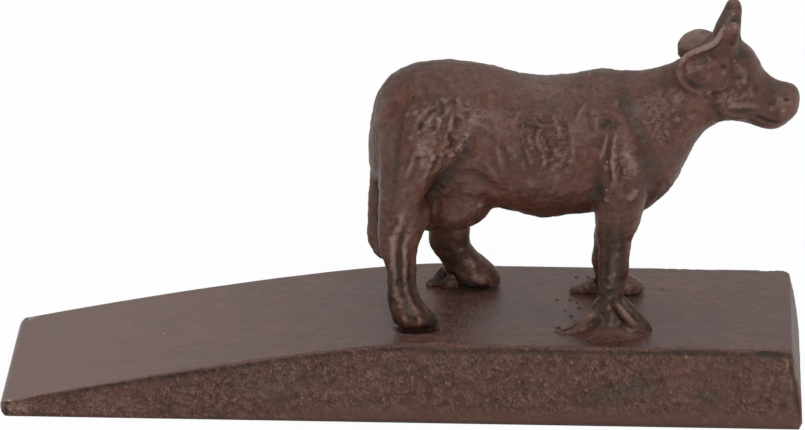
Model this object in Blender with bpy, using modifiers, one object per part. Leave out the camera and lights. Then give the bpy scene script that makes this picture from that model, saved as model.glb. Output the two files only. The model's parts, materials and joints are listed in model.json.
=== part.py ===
"""A cast iron doorstop: a standing cow, welded by its hooves to a wedge. Metres, +Z up, the resting face at Z = 0."""

import math

import bmesh
import bpy
import numpy as np
from mathutils import Vector

MM = 0.001

# The wedge, along X, with its thick end at +X
WEDGE_LENGTH = 144.8 * MM
WEDGE_WIDTH = 39.8 * MM
WEDGE_HEIGHT = 15.06 * MM
TIP_THICKNESS = 2.9 * MM
FLAT_LENGTH = 67.0 * MM  # from the thick end's foot to the crest
CREST_RISE = 0.34 * MM  # the crest stands this proud of the flat
CREST_FADE = 11.5 * MM
RAMP_CURVE = 1.35  # 1 is a straight ramp, and more is rounder
SIDE_DRAFT = math.radians(3.3)
END_SETBACK = 2.15 * MM  # the thick end leans back by this at the top
END_CURVE = 1.8  # 1 is a straight end, and more is rounder
EDGE_ROUND = 0.35 * MM
FOOT_ROUND = 0.8 * MM
CORNER_ROUND = 1.3 * MM  # the upright corners of the thick end
TIP_CORNER = 2.0 * MM  # the corners of the tip, from above

# The cow: X from the wedge's middle, and heights above the wedge's flat top
GRID = 1.0 * MM  # one square of the paper that the cow's outlines are read from
BACK_HEIGHT = 44.3 * MM
BELLY_HEIGHT = 18.5 * MM
BODY_WIDTH = 22.6 * MM
NECK_WIDTH = 14.0 * MM
HEAD_WIDTH = 11.8 * MM
HEAD_RISE = 7.5 * MM  # from the back to the poll
LEG_WIDTH = 5.2 * MM
HOOF_WIDTH = 6.2 * MM
TAIL_WIDTH = 3.6 * MM
HORN_LENGTH = 6.15 * MM
EAR_LENGTH = 8.4 * MM
EAR_HEIGHT = 7.2 * MM
EAR_THICKNESS = 3.2 * MM
EAR_HOLLOW = 1.3 * MM  # depth
EAR_SPREAD = 7.3 * MM  # from the middle plane to the middle of the ear
UDDER_DEPTH = 10.0 * MM
UDDER_WIDTH = 13.0 * MM
NEAR_FRONT_HOOF = (40.0 * MM, -9.3 * MM)
FAR_FRONT_HOOF = (39.0 * MM, 7.4 * MM)
NEAR_HIND_HOOF = (2.6 * MM, -10.5 * MM)
FAR_HIND_HOOF = (12.8 * MM, 9.5 * MM)
NEAR_HIND_LIFT = 0.65 * MM  # the hoof that isn't welded stands clear of the flat by this

# The welds
NEAR_SPUR_LENGTH = 7.0 * MM  # from the heel to the tip
FAR_SPUR_LENGTH = 4.6 * MM
NEAR_SPUR_HEIGHT = 3.6 * MM
FAR_SPUR_HEIGHT = 2.9 * MM
MOUND_HEIGHT = 2.3 * MM
MOUND_MARGIN = 3.8 * MM  # how far the mound runs out past the hoof
HEEL_LUMP = 3.2 * MM

GAP = 0.3 * MM  # between pieces that touch
RING_POINTS = 44
VOXEL = 0.5 * MM
COW_DETAIL = 0.095  # share of the skin's faces that stay
WELD_VOXEL = 0.3 * MM
WELD_DETAIL = 0.12


def clear_scene():
    for thing in list(bpy.data.objects):
        bpy.data.objects.remove(thing, do_unlink=True)


def new_collection(name):
    collection = bpy.data.collections.new(name)
    bpy.context.scene.collection.children.link(collection)
    return collection


def metal(name, colour, roughness):
    material = bpy.data.materials.new(name)
    material.use_nodes = True
    shader = material.node_tree.nodes["Principled BSDF"]
    shader.inputs["Base Color"].default_value = (*colour, 1)
    shader.inputs["Roughness"].default_value = roughness
    shader.inputs["Metallic"].default_value = 0.6
    return material


def new_part(name, bm, collection, material):
    bmesh.ops.recalc_face_normals(bm, faces=bm.faces)
    mesh = bpy.data.meshes.new(name)
    bm.to_mesh(mesh)
    bm.free()
    mesh.materials.append(material)
    part = bpy.data.objects.new(name, mesh)
    collection.objects.link(part)
    return part


def new_cutter(name, bm, collection):
    bmesh.ops.recalc_face_normals(bm, faces=bm.faces)
    mesh = bpy.data.meshes.new(name)
    bm.to_mesh(mesh)
    bm.free()
    cutter = bpy.data.objects.new(name, mesh)
    cutter.hide_render = True
    cutter.display_type = "WIRE"
    collection.objects.link(cutter)
    return cutter


def cut(part, cutter):
    boolean = part.modifiers.new("cut by " + cutter.name, "BOOLEAN")
    boolean.operation = "DIFFERENCE"
    boolean.object = cutter


def skin_over(part, voxel, relax_steps, detail):
    """One smooth casting out of the overlapping shapes in the object."""
    skin = part.modifiers.new("one skin", "REMESH")
    skin.mode = "VOXEL"
    skin.voxel_size = voxel
    skin.use_smooth_shade = True
    relax = part.modifiers.new("soft joins", "SMOOTH")
    relax.factor = 0.5
    relax.iterations = relax_steps
    thin = part.modifiers.new("fewer faces", "DECIMATE")
    thin.ratio = detail


def smooth_rows(rows, steps=4):
    """Catmull-Rom curve through rows of numbers, with this many steps from one row to the next."""
    rows = np.array(rows, float)
    padded = np.vstack([2 * rows[0] - rows[1], rows, 2 * rows[-1] - rows[-2]])
    curve = []
    for before, start, end, after in zip(padded, padded[1:], padded[2:], padded[3:]):
        for share in np.arange(steps) / steps:
            bend = 2 * before - 5 * start + 4 * end - after
            swing = 3 * start - before - 3 * end + after
            curve.append((2 * start + (end - before) * share + bend * share**2 + swing * share**3) / 2)
    return curve + [rows[-1]]


def loft(bm, rings):
    """A closed skin over rings, each a centre and two half axes, as nine numbers."""
    loops = []
    for ring in rings:
        centre, across, along = Vector(ring[0:3]), Vector(ring[3:6]), Vector(ring[6:9])
        turns = [2 * math.pi * index / RING_POINTS for index in range(RING_POINTS)]
        loops.append([bm.verts.new(centre + across * math.cos(turn) + along * math.sin(turn)) for turn in turns])
    for first, second in zip(loops, loops[1:]):
        for index in range(RING_POINTS):
            after = (index + 1) % RING_POINTS
            bm.faces.new((first[index], first[after], second[after], second[index]))
    bm.faces.new(loops[0])
    bm.faces.new(loops[-1])


def flat_ring(x, y, z, half_length, half_width):
    """A level ring, as across a leg."""
    return (x, y, z, half_length, 0, 0, 0, half_width, 0)


def cross_ring(x, y, z, half_width, half_height):
    """An upright ring that faces along X."""
    return (x, y, z, 0, half_width, 0, 0, 0, half_height)


def ball(bm, centre, radii, lean=0.0):
    """An ellipsoid, turned about Y by lean."""
    for vert in bmesh.ops.create_uvsphere(bm, u_segments=24, v_segments=16, radius=1)["verts"]:
        x, y, z = (value * radius for value, radius in zip(vert.co, radii))
        turned = Vector((x * math.cos(lean) + z * math.sin(lean), y, z * math.cos(lean) - x * math.sin(lean)))
        vert.co = turned + Vector(centre)


# The wedge


def wedge_top(x):
    """The height of the wedge's top at x, from its middle."""
    crest_x = WEDGE_LENGTH / 2 - FLAT_LENGTH
    ramp_start = TIP_THICKNESS / 2 - WEDGE_LENGTH / 2
    if x < crest_x:
        share = max(x - ramp_start, 0.0) / (crest_x - ramp_start)
        rise = WEDGE_HEIGHT + CREST_RISE - TIP_THICKNESS
        return TIP_THICKNESS + rise * (1 - (1 - share) ** RAMP_CURVE)
    fade = min((x - crest_x) / CREST_FADE, 1.0)
    return WEDGE_HEIGHT + CREST_RISE * math.cos(fade * math.pi / 2) ** 2


def top_line(steps, lift=0.0):
    """Points along the wedge's top, from the tip to where the thick end turns down."""
    start = TIP_THICKNESS / 2 - WEDGE_LENGTH / 2
    crest_x = WEDGE_LENGTH / 2 - FLAT_LENGTH
    fade_end = crest_x + CREST_FADE
    places = [start + (crest_x - start) * index / steps for index in range(steps)]
    places += [crest_x + CREST_FADE * index / 6 for index in range(7)]
    places.append((fade_end + WEDGE_LENGTH / 2 - END_SETBACK) / 2)
    places.append(WEDGE_LENGTH / 2 - END_SETBACK)
    return [(x, wedge_top(x) + lift) for x in places]


def extruded(outline, half_width, draft=0.0):
    """A solid of this outline in the XZ plane, with sides that lean in by the draft angle."""
    bm = bmesh.new()
    face = bm.faces.new([bm.verts.new((x, half_width, z)) for x, z in outline])
    made = bmesh.ops.extrude_face_region(bm, geom=[face])["geom"]
    for vert in (item for item in made if isinstance(item, bmesh.types.BMVert)):
        vert.co.y = -half_width
    for vert in bm.verts:
        vert.co.y -= math.copysign(math.tan(draft) * vert.co.z, vert.co.y)
    return bm


def tip_cutter(collection):
    """What lies outside the round corners of the tip, from above."""
    x, y = TIP_CORNER - WEDGE_LENGTH / 2, WEDGE_WIDTH / 2 - TIP_CORNER
    turns = [math.radians(90 + 15 * index) for index in range(7)]
    outline = [(x + TIP_CORNER * math.cos(turn), y + TIP_CORNER * math.sin(turn)) for turn in turns]
    outline += [(x - 2 * TIP_CORNER, y - TIP_CORNER), (x - 2 * TIP_CORNER, y + 2 * TIP_CORNER)]
    outline.append((x + TIP_CORNER, y + 2 * TIP_CORNER))
    bm = bmesh.new()
    for side in (-1, 1):
        face = bm.faces.new([bm.verts.new((corner_x, side * corner_y, -TIP_CORNER)) for corner_x, corner_y in outline])
        made = bmesh.ops.extrude_face_region(bm, geom=[face])["geom"]
        for vert in (item for item in made if isinstance(item, bmesh.types.BMVert)):
            vert.co.z = TIP_THICKNESS + 2 * TIP_CORNER
    return new_cutter("outside of the tip", bm, collection)


def build_wedge(collection, cutters):
    nose = TIP_THICKNESS / 2
    outline = []
    for index in range(9):
        turn = math.radians(270 - 168 * index / 8)
        outline.append((nose * (1 + math.cos(turn)) - WEDGE_LENGTH / 2, nose * (1 + math.sin(turn))))
    outline += top_line(36)
    for share in (0.75, 0.5, 0.25, 0.0):
        outline.append((WEDGE_LENGTH / 2 - END_SETBACK * share**END_CURVE, WEDGE_HEIGHT * share))
    bm = extruded(outline, WEDGE_WIDTH / 2, SIDE_DRAFT)
    weights = bm.edges.layers.float.new("bevel_weight_edge")
    top_end = WEDGE_LENGTH / 2 - END_SETBACK
    for edge in bm.edges:
        middle = (edge.verts[0].co + edge.verts[1].co) / 2
        on_side = edge.verts[0].co.y * edge.verts[1].co.y > 0
        if on_side and middle.x > top_end and middle.z > EDGE_ROUND:
            edge[weights] = 1.0
        elif on_side:
            edge[weights] = (FOOT_ROUND if middle.z < EDGE_ROUND else EDGE_ROUND) / CORNER_ROUND
        elif abs(middle.x - WEDGE_LENGTH / 2) < EDGE_ROUND and middle.z < EDGE_ROUND:
            edge[weights] = FOOT_ROUND / CORNER_ROUND
        elif abs(middle.x - top_end) < EDGE_ROUND and middle.z > WEDGE_HEIGHT - EDGE_ROUND:
            edge[weights] = FOOT_ROUND / CORNER_ROUND
    wedge = new_part("wedge_base", bm, collection, metal("wedge iron", (0.13, 0.09, 0.085), 0.5))
    bevel = wedge.modifiers.new("rounded edges", "BEVEL")
    bevel.limit_method = "WEIGHT"
    bevel.width = CORNER_ROUND
    bevel.segments = 3
    cut(wedge, tip_cutter(cutters))


def sole_cutter(name, collection, lift, hoof=None):
    """All below the wedge's top raised by lift, under the whole cow or under one hoof."""
    if hoof:
        bm = bmesh.new()
        bmesh.ops.create_cube(bm, size=1)
        for vert in bm.verts:
            z = WEDGE_HEIGHT + lift if vert.co.z > 0 else 0.0
            vert.co = (hoof[0] + vert.co.x * 4 * LEG_WIDTH, hoof[1] + vert.co.y * 2 * LEG_WIDTH, z)
        return new_cutter(name, bm, collection)
    top = top_line(36, lift)
    outline = [(top[0][0], -lift), *top, (top[-1][0], -lift)]
    return new_cutter(name, extruded(outline, WEDGE_WIDTH), collection)


# The cow

TORSO = (  # x, over the back line, over the belly line, share of the body's width
    (-6.5, -11.5, 10.5, 0.12),
    (-5.9, -8.3, 7.8, 0.44),
    (-4.0, -2.1, 4.9, 0.68),
    (0.0, 1.45, 3.0, 0.85),
    (5.0, 2.6, 1.6, 0.93),
    (10.0, 2.6, 1.1, 0.97),
    (16.0, 1.65, 1.4, 0.98),
    (20.0, 0.4, 0.8, 1.0),
    (25.0, -0.05, -0.4, 1.02),
    (30.0, 0.35, 0.3, 0.99),
    (35.0, 1.5, 0.75, 0.94),
)

CHEST = (39.0, 1.25, 41.3, 0.0, 0.9)  # top x, over the back line, bottom x, over the belly line, share of width

NECK = (  # top x, over the back line, bottom x, over the back line, share of the neck's width
    (42.5, 1.45, 47.45, -21.25, 1.23),
    (45.5, 2.1, 50.9, -15.1, 1.0),
    (48.8, 3.6, 53.5, -9.9, 0.84),
)

HEAD = (  # top x, over the poll line, bottom x, over the poll line, share of the head's width
    (53.2, -0.8, 57.2, -15.05, 0.9),
    (58.4, 0.4, 60.5, -15.0, 1.0),
    (62.1, -1.4, 62.6, -15.55, 0.97),
    (64.3, -5.4, 64.5, -16.3, 0.8),
    (66.8, -7.3, 66.7, -16.4, 0.7),
    (69.3, -7.9, 69.0, -14.9, 0.68),
    (70.6, -8.9, 70.4, -13.2, 0.52),
    (71.0, -10.2, 70.9, -11.8, 0.2),
)

# Legs: share of the belly's height, squares forward of the hoof's middle, half the length along X, squares
# inwards of the hoof, and half the width as a share of the leg's. The first rows shape the thigh or shoulder.
NEAR_HIND_LEG = (
    (2.36, 8.0, 3.0, 5.2, 0.35),
    (2.28, 6.6, 6.6, 5.0, 0.62),
    (2.13, 4.2, 8.8, 4.7, 0.95),
    (1.94, 2.0, 8.3, 4.2, 1.1),
    (1.67, -0.1, 6.7, 3.7, 1.08),
    (1.35, -2.2, 4.8, 2.9, 0.88),
    (1.08, -2.3, 4.8, 2.1, 0.68),
    (0.86, -3.1, 4.0, 1.5, 0.56),
    (0.73, -3.3, 3.45, 1.2, 0.52),
    (0.59, -2.85, 2.95, 0.9, 0.47),
    (0.43, -2.75, 2.65, 0.7, 0.44),
    (0.27, -2.35, 3.1, 0.4, 0.48),
    (0.16, -1.6, 3.6, 0.1, 0.56),
    (0.07, -0.45, 4.15, 0.0, 0.6),
    (0.0, -0.05, 4.2, 0.0, 0.6),
    (-0.06, 0.05, 4.0, 0.0, 0.58),
)

FAR_HIND_LEG = (
    (2.36, -2.2, 3.0, 4.2, 0.35),
    (2.28, -3.6, 6.6, 4.1, 0.62),
    (2.13, -6.0, 8.8, 3.7, 0.95),
    (1.94, -8.2, 8.3, 3.2, 1.1),
    (1.67, -9.0, 6.9, 2.8, 1.08),
    (1.35, -8.5, 5.5, 2.1, 0.88),
    (1.08, -7.0, 4.7, 1.5, 0.68),
    (0.86, -6.0, 4.3, 0.9, 0.58),
    (0.70, -5.2, 4.05, 0.6, 0.54),
    (0.56, -4.95, 3.9, 0.4, 0.5),
    (0.46, -4.95, 3.85, 0.3, 0.48),
    (0.375, -4.1, 4.15, 0.2, 0.48),
    (0.27, -2.45, 4.4, 0.0, 0.5),
    (0.16, -0.7, 4.8, 0.0, 0.56),
    (0.08, -0.1, 4.65, 0.0, 0.58),
    (0.0, 0.05, 4.4, 0.0, 0.58),
    (-0.06, 0.0, 4.2, 0.0, 0.56),
)

NEAR_FRONT_LEG = (
    (2.35, -1.0, 1.8, 5.4, 0.25),
    (2.2, -1.2, 3.6, 4.6, 0.55),
    (2.0, -1.3, 5.0, 3.6, 0.8),
    (1.73, -0.9, 5.4, 2.9, 0.94),
    (1.46, -0.9, 4.9, 2.3, 0.88),
    (1.24, -1.2, 4.6, 1.7, 0.74),
    (1.08, -1.4, 4.1, 1.1, 0.62),
    (0.94, -1.75, 3.3, 0.8, 0.55),
    (0.78, -1.9, 2.85, 0.5, 0.5),
    (0.645, -1.9, 2.9, 0.4, 0.5),
    (0.51, -2.1, 2.6, 0.3, 0.45),
    (0.375, -2.4, 2.4, 0.2, 0.42),
    (0.27, -2.3, 2.6, 0.2, 0.45),
    (0.16, -1.2, 3.5, 0.1, 0.52),
    (0.07, -0.2, 4.5, 0.0, 0.6),
    (0.0, 0.0, 4.65, 0.0, 0.6),
    (-0.06, 0.0, 4.5, 0.0, 0.58),
)

FAR_FRONT_LEG = (
    (2.35, 0.0, 1.8, 3.5, 0.25),
    (2.2, -0.2, 3.6, 2.7, 0.55),
    (2.0, -0.3, 5.0, 1.7, 0.8),
    (1.73, 0.0, 5.4, 1.0, 0.94),
    (1.46, 0.0, 4.9, 0.4, 0.88),
    (1.24, -0.2, 4.3, 0.0, 0.74),
    (1.08, -0.6, 3.7, 0.0, 0.62),
    (0.91, -1.1, 3.2, 0.0, 0.54),
    (0.75, -1.7, 2.9, 0.0, 0.5),
    (0.59, -1.95, 2.85, 0.0, 0.5),
    (0.46, -2.1, 2.9, 0.0, 0.46),
    (0.32, -2.3, 3.0, 0.0, 0.42),
    (0.21, -1.7, 3.0, 0.0, 0.46),
    (0.13, -0.4, 4.2, 0.0, 0.54),
    (0.06, 0.2, 4.6, 0.0, 0.58),
    (0.0, 0.1, 4.6, 0.0, 0.58),
    (-0.06, 0.1, 4.4, 0.0, 0.56),
)

TAIL = (  # x, y, height as a share of the back's, share of half the tail's width
    (1.0, 0.0, 1.01, 0.6),
    (-1.8, 0.0, 0.985, 0.8),
    (-3.65, 0.0, 0.9, 0.95),
    (-4.35, 0.0, 0.79, 1.0),
    (-4.15, 0.0, 0.655, 1.0),
    (-4.6, -0.2, 0.55, 1.0),
    (-5.0, -0.4, 0.46, 1.0),
    (-4.8, -0.8, 0.385, 1.05),
    (-4.8, -1.2, 0.305, 1.15),
    (-4.05, -2.0, 0.245, 0.9),
    (-3.0, -3.0, 0.215, 0.4),
)


def trunk_ring(top_x, top_z, bottom_x, bottom_z, half_width):
    """A ring of the body, neck or head, from its highest and lowest points in the middle plane."""
    centre = ((top_x + bottom_x) / 2, 0, (top_z + bottom_z) / 2)
    return (*centre, 0, half_width, 0, (top_x - bottom_x) / 2, 0, (top_z - bottom_z) / 2)


def add_trunk(bm):
    poll = BACK_HEIGHT + HEAD_RISE
    rows = [(x, top, x, bottom, share) for x, top, bottom, share in TORSO] + [CHEST]
    rings = []
    for rows, top_line_z, bottom_line_z, width in (
        (rows, BACK_HEIGHT, BELLY_HEIGHT, BODY_WIDTH),
        (NECK, BACK_HEIGHT, BACK_HEIGHT, NECK_WIDTH),
        (HEAD, poll, poll, HEAD_WIDTH),
    ):
        for top_x, top, bottom_x, bottom, share in rows:
            top_z, bottom_z = top_line_z + top * GRID, bottom_line_z + bottom * GRID
            rings.append(trunk_ring(top_x * GRID, top_z, bottom_x * GRID, bottom_z, share * width / 2))
    loft(bm, smooth_rows(rings))


def add_leg(bm, hoof, rows, lift=0.0):
    side = math.copysign(1, hoof[1])
    rings = []
    for height, forward, half_length, inwards, half_width in rows:
        x = hoof[0] + forward * GRID
        y = hoof[1] - side * inwards * GRID
        z = height * BELLY_HEIGHT + lift
        rings.append(flat_ring(x, y, z, half_length * GRID, half_width * LEG_WIDTH))
    loft(bm, smooth_rows(rings))


def add_tail(bm):
    rings = []
    for x, y, height, share in TAIL:
        half = share * TAIL_WIDTH / 2
        rings.append(flat_ring(x * GRID, y * GRID, height * BACK_HEIGHT, half, half))
    loft(bm, smooth_rows(rings))


def add_horns(bm):
    """Two stout horns with blunt tips. The far one is thicker, as cast."""
    poll = BACK_HEIGHT + HEAD_RISE
    far = ((56.5, 1.8, -2.2, 3.5), (58.8, 5.4, 0.0, 1.65))  # x, y, over the horn's line, radius, at root and tip
    near = ((57.4, -2.2, -1.6, 2.1), (58.9, -5.4, 0.0, 1.15))
    for root, tip in (far, near):
        rings = []
        for share in (0.0, 0.25, 0.5, 0.75, 1.0):
            x, y, over, radius = ((1 - share) * at_root + share * at_tip for at_root, at_tip in zip(root, tip))
            z = poll + (over - 1.4) * GRID + HORN_LENGTH * share
            rings.append(flat_ring(x * GRID, y * GRID, z, radius * GRID, radius * GRID))
        loft(bm, smooth_rows(rings))
        ball(bm, rings[-1][0:3], (tip[3] * GRID,) * 3)


def ear_middle(side):
    return (52.6 * GRID, side * EAR_SPREAD, BACK_HEIGHT + HEAD_RISE - 3.8 * GRID)


def add_ears(bm):
    """Each ear is a broad leaf on a short stalk."""
    for side in (-1, 1):
        leaf = ear_middle(side)
        ball(bm, leaf, (EAR_LENGTH / 2, EAR_THICKNESS / 2, EAR_HEIGHT / 2), math.radians(-18))
        stalk = (leaf[0] + 3.0 * GRID, leaf[1] - side * 1.9 * GRID, leaf[2] + 1.0 * GRID)
        ball(bm, stalk, (2.7 * GRID, 2.4 * GRID, 2.4 * GRID))


def ear_cutter(name, side, collection):
    """The hollow of an ear, open outwards and a little forwards."""
    leaf = ear_middle(side)
    bm = bmesh.new()
    reach = EAR_THICKNESS
    middle = (leaf[0] + 1.2 * GRID, leaf[1] + side * (EAR_THICKNESS / 2 - EAR_HOLLOW + reach), leaf[2] - 0.2 * GRID)
    ball(bm, middle, (EAR_LENGTH * 0.5, reach, EAR_HEIGHT * 0.5), math.radians(-18))
    bmesh.ops.translate(bm, verts=bm.verts, vec=(0, 0, WEDGE_HEIGHT))
    return new_cutter(name, bm, collection)


def add_face(bm):
    poll = BACK_HEIGHT + HEAD_RISE
    for side in (-1, 1):
        ball(bm, (60.9 * GRID, side * HEAD_WIDTH * 0.4, poll - 6.4 * GRID), (1.7 * GRID, 1.2 * GRID, 1.2 * GRID))  # eye
        ball(bm, (60.4 * GRID, side * HEAD_WIDTH * 0.36, poll - 4.4 * GRID), (2.4 * GRID, 1.3 * GRID, 0.9 * GRID))  # brow
        ball(bm, (59.6 * GRID, side * HEAD_WIDTH * 0.34, poll - 11.0 * GRID), (3.6 * GRID, 1.8 * GRID, 2.6 * GRID))  # jaw


def add_udder(bm):
    ball(bm, (4.4 * GRID, 0, BELLY_HEIGHT + 4.6 * GRID), (6.4 * GRID, 7.0 * GRID, 8.3 * GRID))
    middle = (10.5 * GRID, -2.4 * GRID, BELLY_HEIGHT + 3.15 * GRID)
    ball(bm, middle, (6.4 * GRID, UDDER_WIDTH / 2, UDDER_DEPTH / 2), math.radians(-30))


def cow_shapes():
    bm = bmesh.new()
    add_trunk(bm)
    add_leg(bm, NEAR_HIND_HOOF, NEAR_HIND_LEG, NEAR_HIND_LIFT)
    add_leg(bm, FAR_HIND_HOOF, FAR_HIND_LEG)
    add_leg(bm, NEAR_FRONT_HOOF, NEAR_FRONT_LEG)
    add_leg(bm, FAR_FRONT_HOOF, FAR_FRONT_LEG)
    add_tail(bm)
    add_udder(bm)
    add_horns(bm)
    add_ears(bm)
    add_face(bm)
    bmesh.ops.translate(bm, verts=bm.verts, vec=(0, 0, WEDGE_HEIGHT))
    return bm


def build_cow(collection, cutters, sole):
    cow = new_part("cow_casting", cow_shapes(), collection, metal("cow iron", (0.11, 0.06, 0.05), 0.45))
    skin_over(cow, VOXEL, 8, COW_DETAIL)
    cut(cow, sole)
    cut(cow, sole_cutter("near hind sole", cutters, NEAR_HIND_LIFT, NEAR_HIND_HOOF))
    for name, side in (("near ear hollow", -1), ("far ear hollow", 1)):
        cut(cow, ear_cutter(name, side, cutters))


def cow_clearance(cutters):
    """The cow swollen by the gap, which shapes what is welded round its hooves."""
    swollen = new_cutter("cow with its gap", cow_shapes(), cutters)
    skin_over(swollen, VOXEL, 8, COW_DETAIL)
    swell = swollen.modifiers.new("gap", "DISPLACE")
    swell.strength = GAP
    swell.mid_level = 0
    return swollen


# The welds


def heel_of(hoof, rows):
    """The x of a hoof's heel, from the row at its sole."""
    _, forward, half_length, _, _ = next(row for row in rows if row[0] == 0.0)
    return hoof[0] + (forward - half_length) * GRID


def add_spur(bm, heel, y, length, height):
    """A tapering bead that runs back from the heel along the wedge, a little towards the near side."""
    rings = []
    for share, size in ((-0.4, 1.0), (0.0, 1.0), (0.35, 0.75), (0.7, 0.48), (1.0, 0.26)):
        half = size * height / 2
        ring_y = y - 0.9 * MM * share
        rings.append(cross_ring(heel - length * share, ring_y, WEDGE_HEIGHT + half * 0.7, half * 1.2, half))
    loft(bm, smooth_rows(rings))


def add_mound(bm, hoof, rows):
    """Filler that runs up round a hoof in a hollow curve, further out on the near side."""
    half_length = hoof[0] - heel_of(hoof, rows)
    rings = []
    for rise, margin in ((-0.3, 1.05), (0.0, 1.0), (0.2, 0.74), (0.42, 0.45), (0.7, 0.2), (1.0, 0.0)):
        out = margin * MOUND_MARGIN
        z = WEDGE_HEIGHT + rise * MOUND_HEIGHT
        rings.append(flat_ring(hoof[0], hoof[1] - out * 0.2, z, half_length + out * 0.7, HOOF_WIDTH / 2 + out))
    loft(bm, rings)


def finish_weld(name, bm, collection, material, sole, cow_gap):
    weld = new_part(name, bm, collection, material)
    skin_over(weld, WELD_VOXEL, 3, WELD_DETAIL)
    cut(weld, sole)
    cut(weld, cow_gap)


def build_welds(collection, cutters, sole):
    bead = metal("weld bead", (0.10, 0.07, 0.06), 0.5)
    filler = metal("weld filler", (0.14, 0.07, 0.055), 0.5)
    cow_gap = cow_clearance(cutters)

    near = bmesh.new()
    heel = heel_of(NEAR_FRONT_HOOF, NEAR_FRONT_LEG)
    add_spur(near, heel, NEAR_FRONT_HOOF[1], NEAR_SPUR_LENGTH, NEAR_SPUR_HEIGHT)
    add_mound(near, NEAR_FRONT_HOOF, NEAR_FRONT_LEG)
    finish_weld("weld_front_near", near, collection, filler, sole, cow_gap)

    far = bmesh.new()
    heel = heel_of(FAR_FRONT_HOOF, FAR_FRONT_LEG)
    add_spur(far, heel, FAR_FRONT_HOOF[1], FAR_SPUR_LENGTH, FAR_SPUR_HEIGHT)
    finish_weld("weld_front_far", far, collection, bead, sole, cow_gap)

    hind = bmesh.new()
    heel = heel_of(FAR_HIND_HOOF, FAR_HIND_LEG)
    lump = (heel - 0.6 * MM, FAR_HIND_HOOF[1] - 0.6 * MM, WEDGE_HEIGHT + 0.6 * MM)
    ball(hind, lump, (HEEL_LUMP * 0.9, HEEL_LUMP * 0.75, HEEL_LUMP))
    ball(hind, (lump[0] - HEEL_LUMP * 0.6, lump[1] - 0.4 * MM, WEDGE_HEIGHT), (HEEL_LUMP * 0.8, 1.6 * MM, 1.4 * MM))
    finish_weld("weld_hind_far", hind, collection, bead, sole, cow_gap)


def main():
    clear_scene()
    parts = new_collection("doorstop")
    cutters = new_collection("cutters")
    sole = sole_cutter("wedge top with its gap", cutters, GAP)
    build_wedge(parts, cutters)
    build_cow(parts, cutters, sole)
    build_welds(parts, cutters, sole)


main()
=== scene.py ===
import json
import math

import bmesh
import bpy
import numpy as np
from mathutils import Matrix, Vector
from mathutils.bvhtree import BVHTree

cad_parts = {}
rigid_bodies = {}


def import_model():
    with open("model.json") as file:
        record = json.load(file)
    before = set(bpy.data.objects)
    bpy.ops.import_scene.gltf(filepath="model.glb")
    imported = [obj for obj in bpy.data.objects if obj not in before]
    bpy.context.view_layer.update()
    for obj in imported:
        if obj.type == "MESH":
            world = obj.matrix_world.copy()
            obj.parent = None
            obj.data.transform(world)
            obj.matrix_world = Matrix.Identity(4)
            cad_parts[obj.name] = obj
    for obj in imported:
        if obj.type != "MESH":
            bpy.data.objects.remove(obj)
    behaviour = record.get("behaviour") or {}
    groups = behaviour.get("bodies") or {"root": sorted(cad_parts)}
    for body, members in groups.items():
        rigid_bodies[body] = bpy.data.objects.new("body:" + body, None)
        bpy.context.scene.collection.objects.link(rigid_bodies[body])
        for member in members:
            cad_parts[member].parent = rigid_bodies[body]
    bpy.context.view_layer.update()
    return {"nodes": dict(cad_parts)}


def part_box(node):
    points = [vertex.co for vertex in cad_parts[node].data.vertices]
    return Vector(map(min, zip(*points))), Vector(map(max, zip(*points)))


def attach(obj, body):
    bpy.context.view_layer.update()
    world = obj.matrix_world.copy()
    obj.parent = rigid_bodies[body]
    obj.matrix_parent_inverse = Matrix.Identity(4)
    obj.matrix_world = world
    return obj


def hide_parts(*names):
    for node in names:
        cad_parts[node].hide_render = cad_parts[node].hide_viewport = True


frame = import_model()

mm = 0.001
wedgeTopLevel = 15.06 * mm   # of the flat part, behind the crest


def say(text):
    print("doorstop:", text)


# camera: the photograph's own view, with its pixels counted on 805 x 430

photoCamera = {
    "wide": 805, "high": 430,
    "turn": 2.447,              # degrees round the object, towards the thick end
    "rise": 21.829,             # degrees above the floor
    "away": 1.1582,
    "aim": (-0.371 * mm, 0.0, 32.47 * mm),
    "focalPixels": 6396.1,
    "sensor": 36.0,
}


def cameraAxes():
    turn, rise = math.radians(photoCamera["turn"]), math.radians(photoCamera["rise"])
    back = Vector((math.sin(turn) * math.cos(rise), -math.cos(turn) * math.cos(rise), math.sin(rise)))
    right = Vector((math.cos(turn), math.sin(turn), 0.0))
    return right, back.cross(right), back


def cameraPlace():
    return Vector(photoCamera["aim"]) + cameraAxes()[2] * photoCamera["away"]


def addCamera():
    data = bpy.data.cameras.new("photoCamera")
    data.sensor_width = photoCamera["sensor"]
    data.lens = photoCamera["focalPixels"] / photoCamera["wide"] * photoCamera["sensor"]
    data.clip_start, data.clip_end = 0.05, 20.0
    camera = bpy.data.objects.new("photoCamera", data)
    bpy.context.scene.collection.objects.link(camera)
    turned = Matrix(cameraAxes()).transposed().to_4x4()
    camera.matrix_world = Matrix.Translation(cameraPlace()) @ turned
    bpy.context.scene.camera = camera


def pixelRay(across, down):
    # from the camera through one pixel of the photograph
    right, up, back = cameraAxes()
    sideways = (across - photoCamera["wide"] / 2) / photoCamera["focalPixels"]
    upwards = (photoCamera["high"] / 2 - down) / photoCamera["focalPixels"]
    return cameraPlace(), (right * sideways + up * upwards - back).normalized()


def atDepth(across, down, depth):
    # on a pixel's ray, this many mm behind the point that the camera aims at
    start, direction = pixelRay(across, down)
    return start + direction * (photoCamera["away"] + depth * mm)


def onPlane(across, down, axis, level):
    # where a pixel's ray meets the plane on which that axis has this level
    start, direction = pixelRay(across, down)
    return start + direction * ((level - start[axis]) / direction[axis])


# small helpers

def pick(piece):
    if bpy.context.object and bpy.context.object.mode != "OBJECT":
        bpy.ops.object.mode_set(mode="OBJECT")
    bpy.ops.object.select_all(action="DESELECT")
    piece.select_set(True)
    bpy.context.view_layer.objects.active = piece


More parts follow.
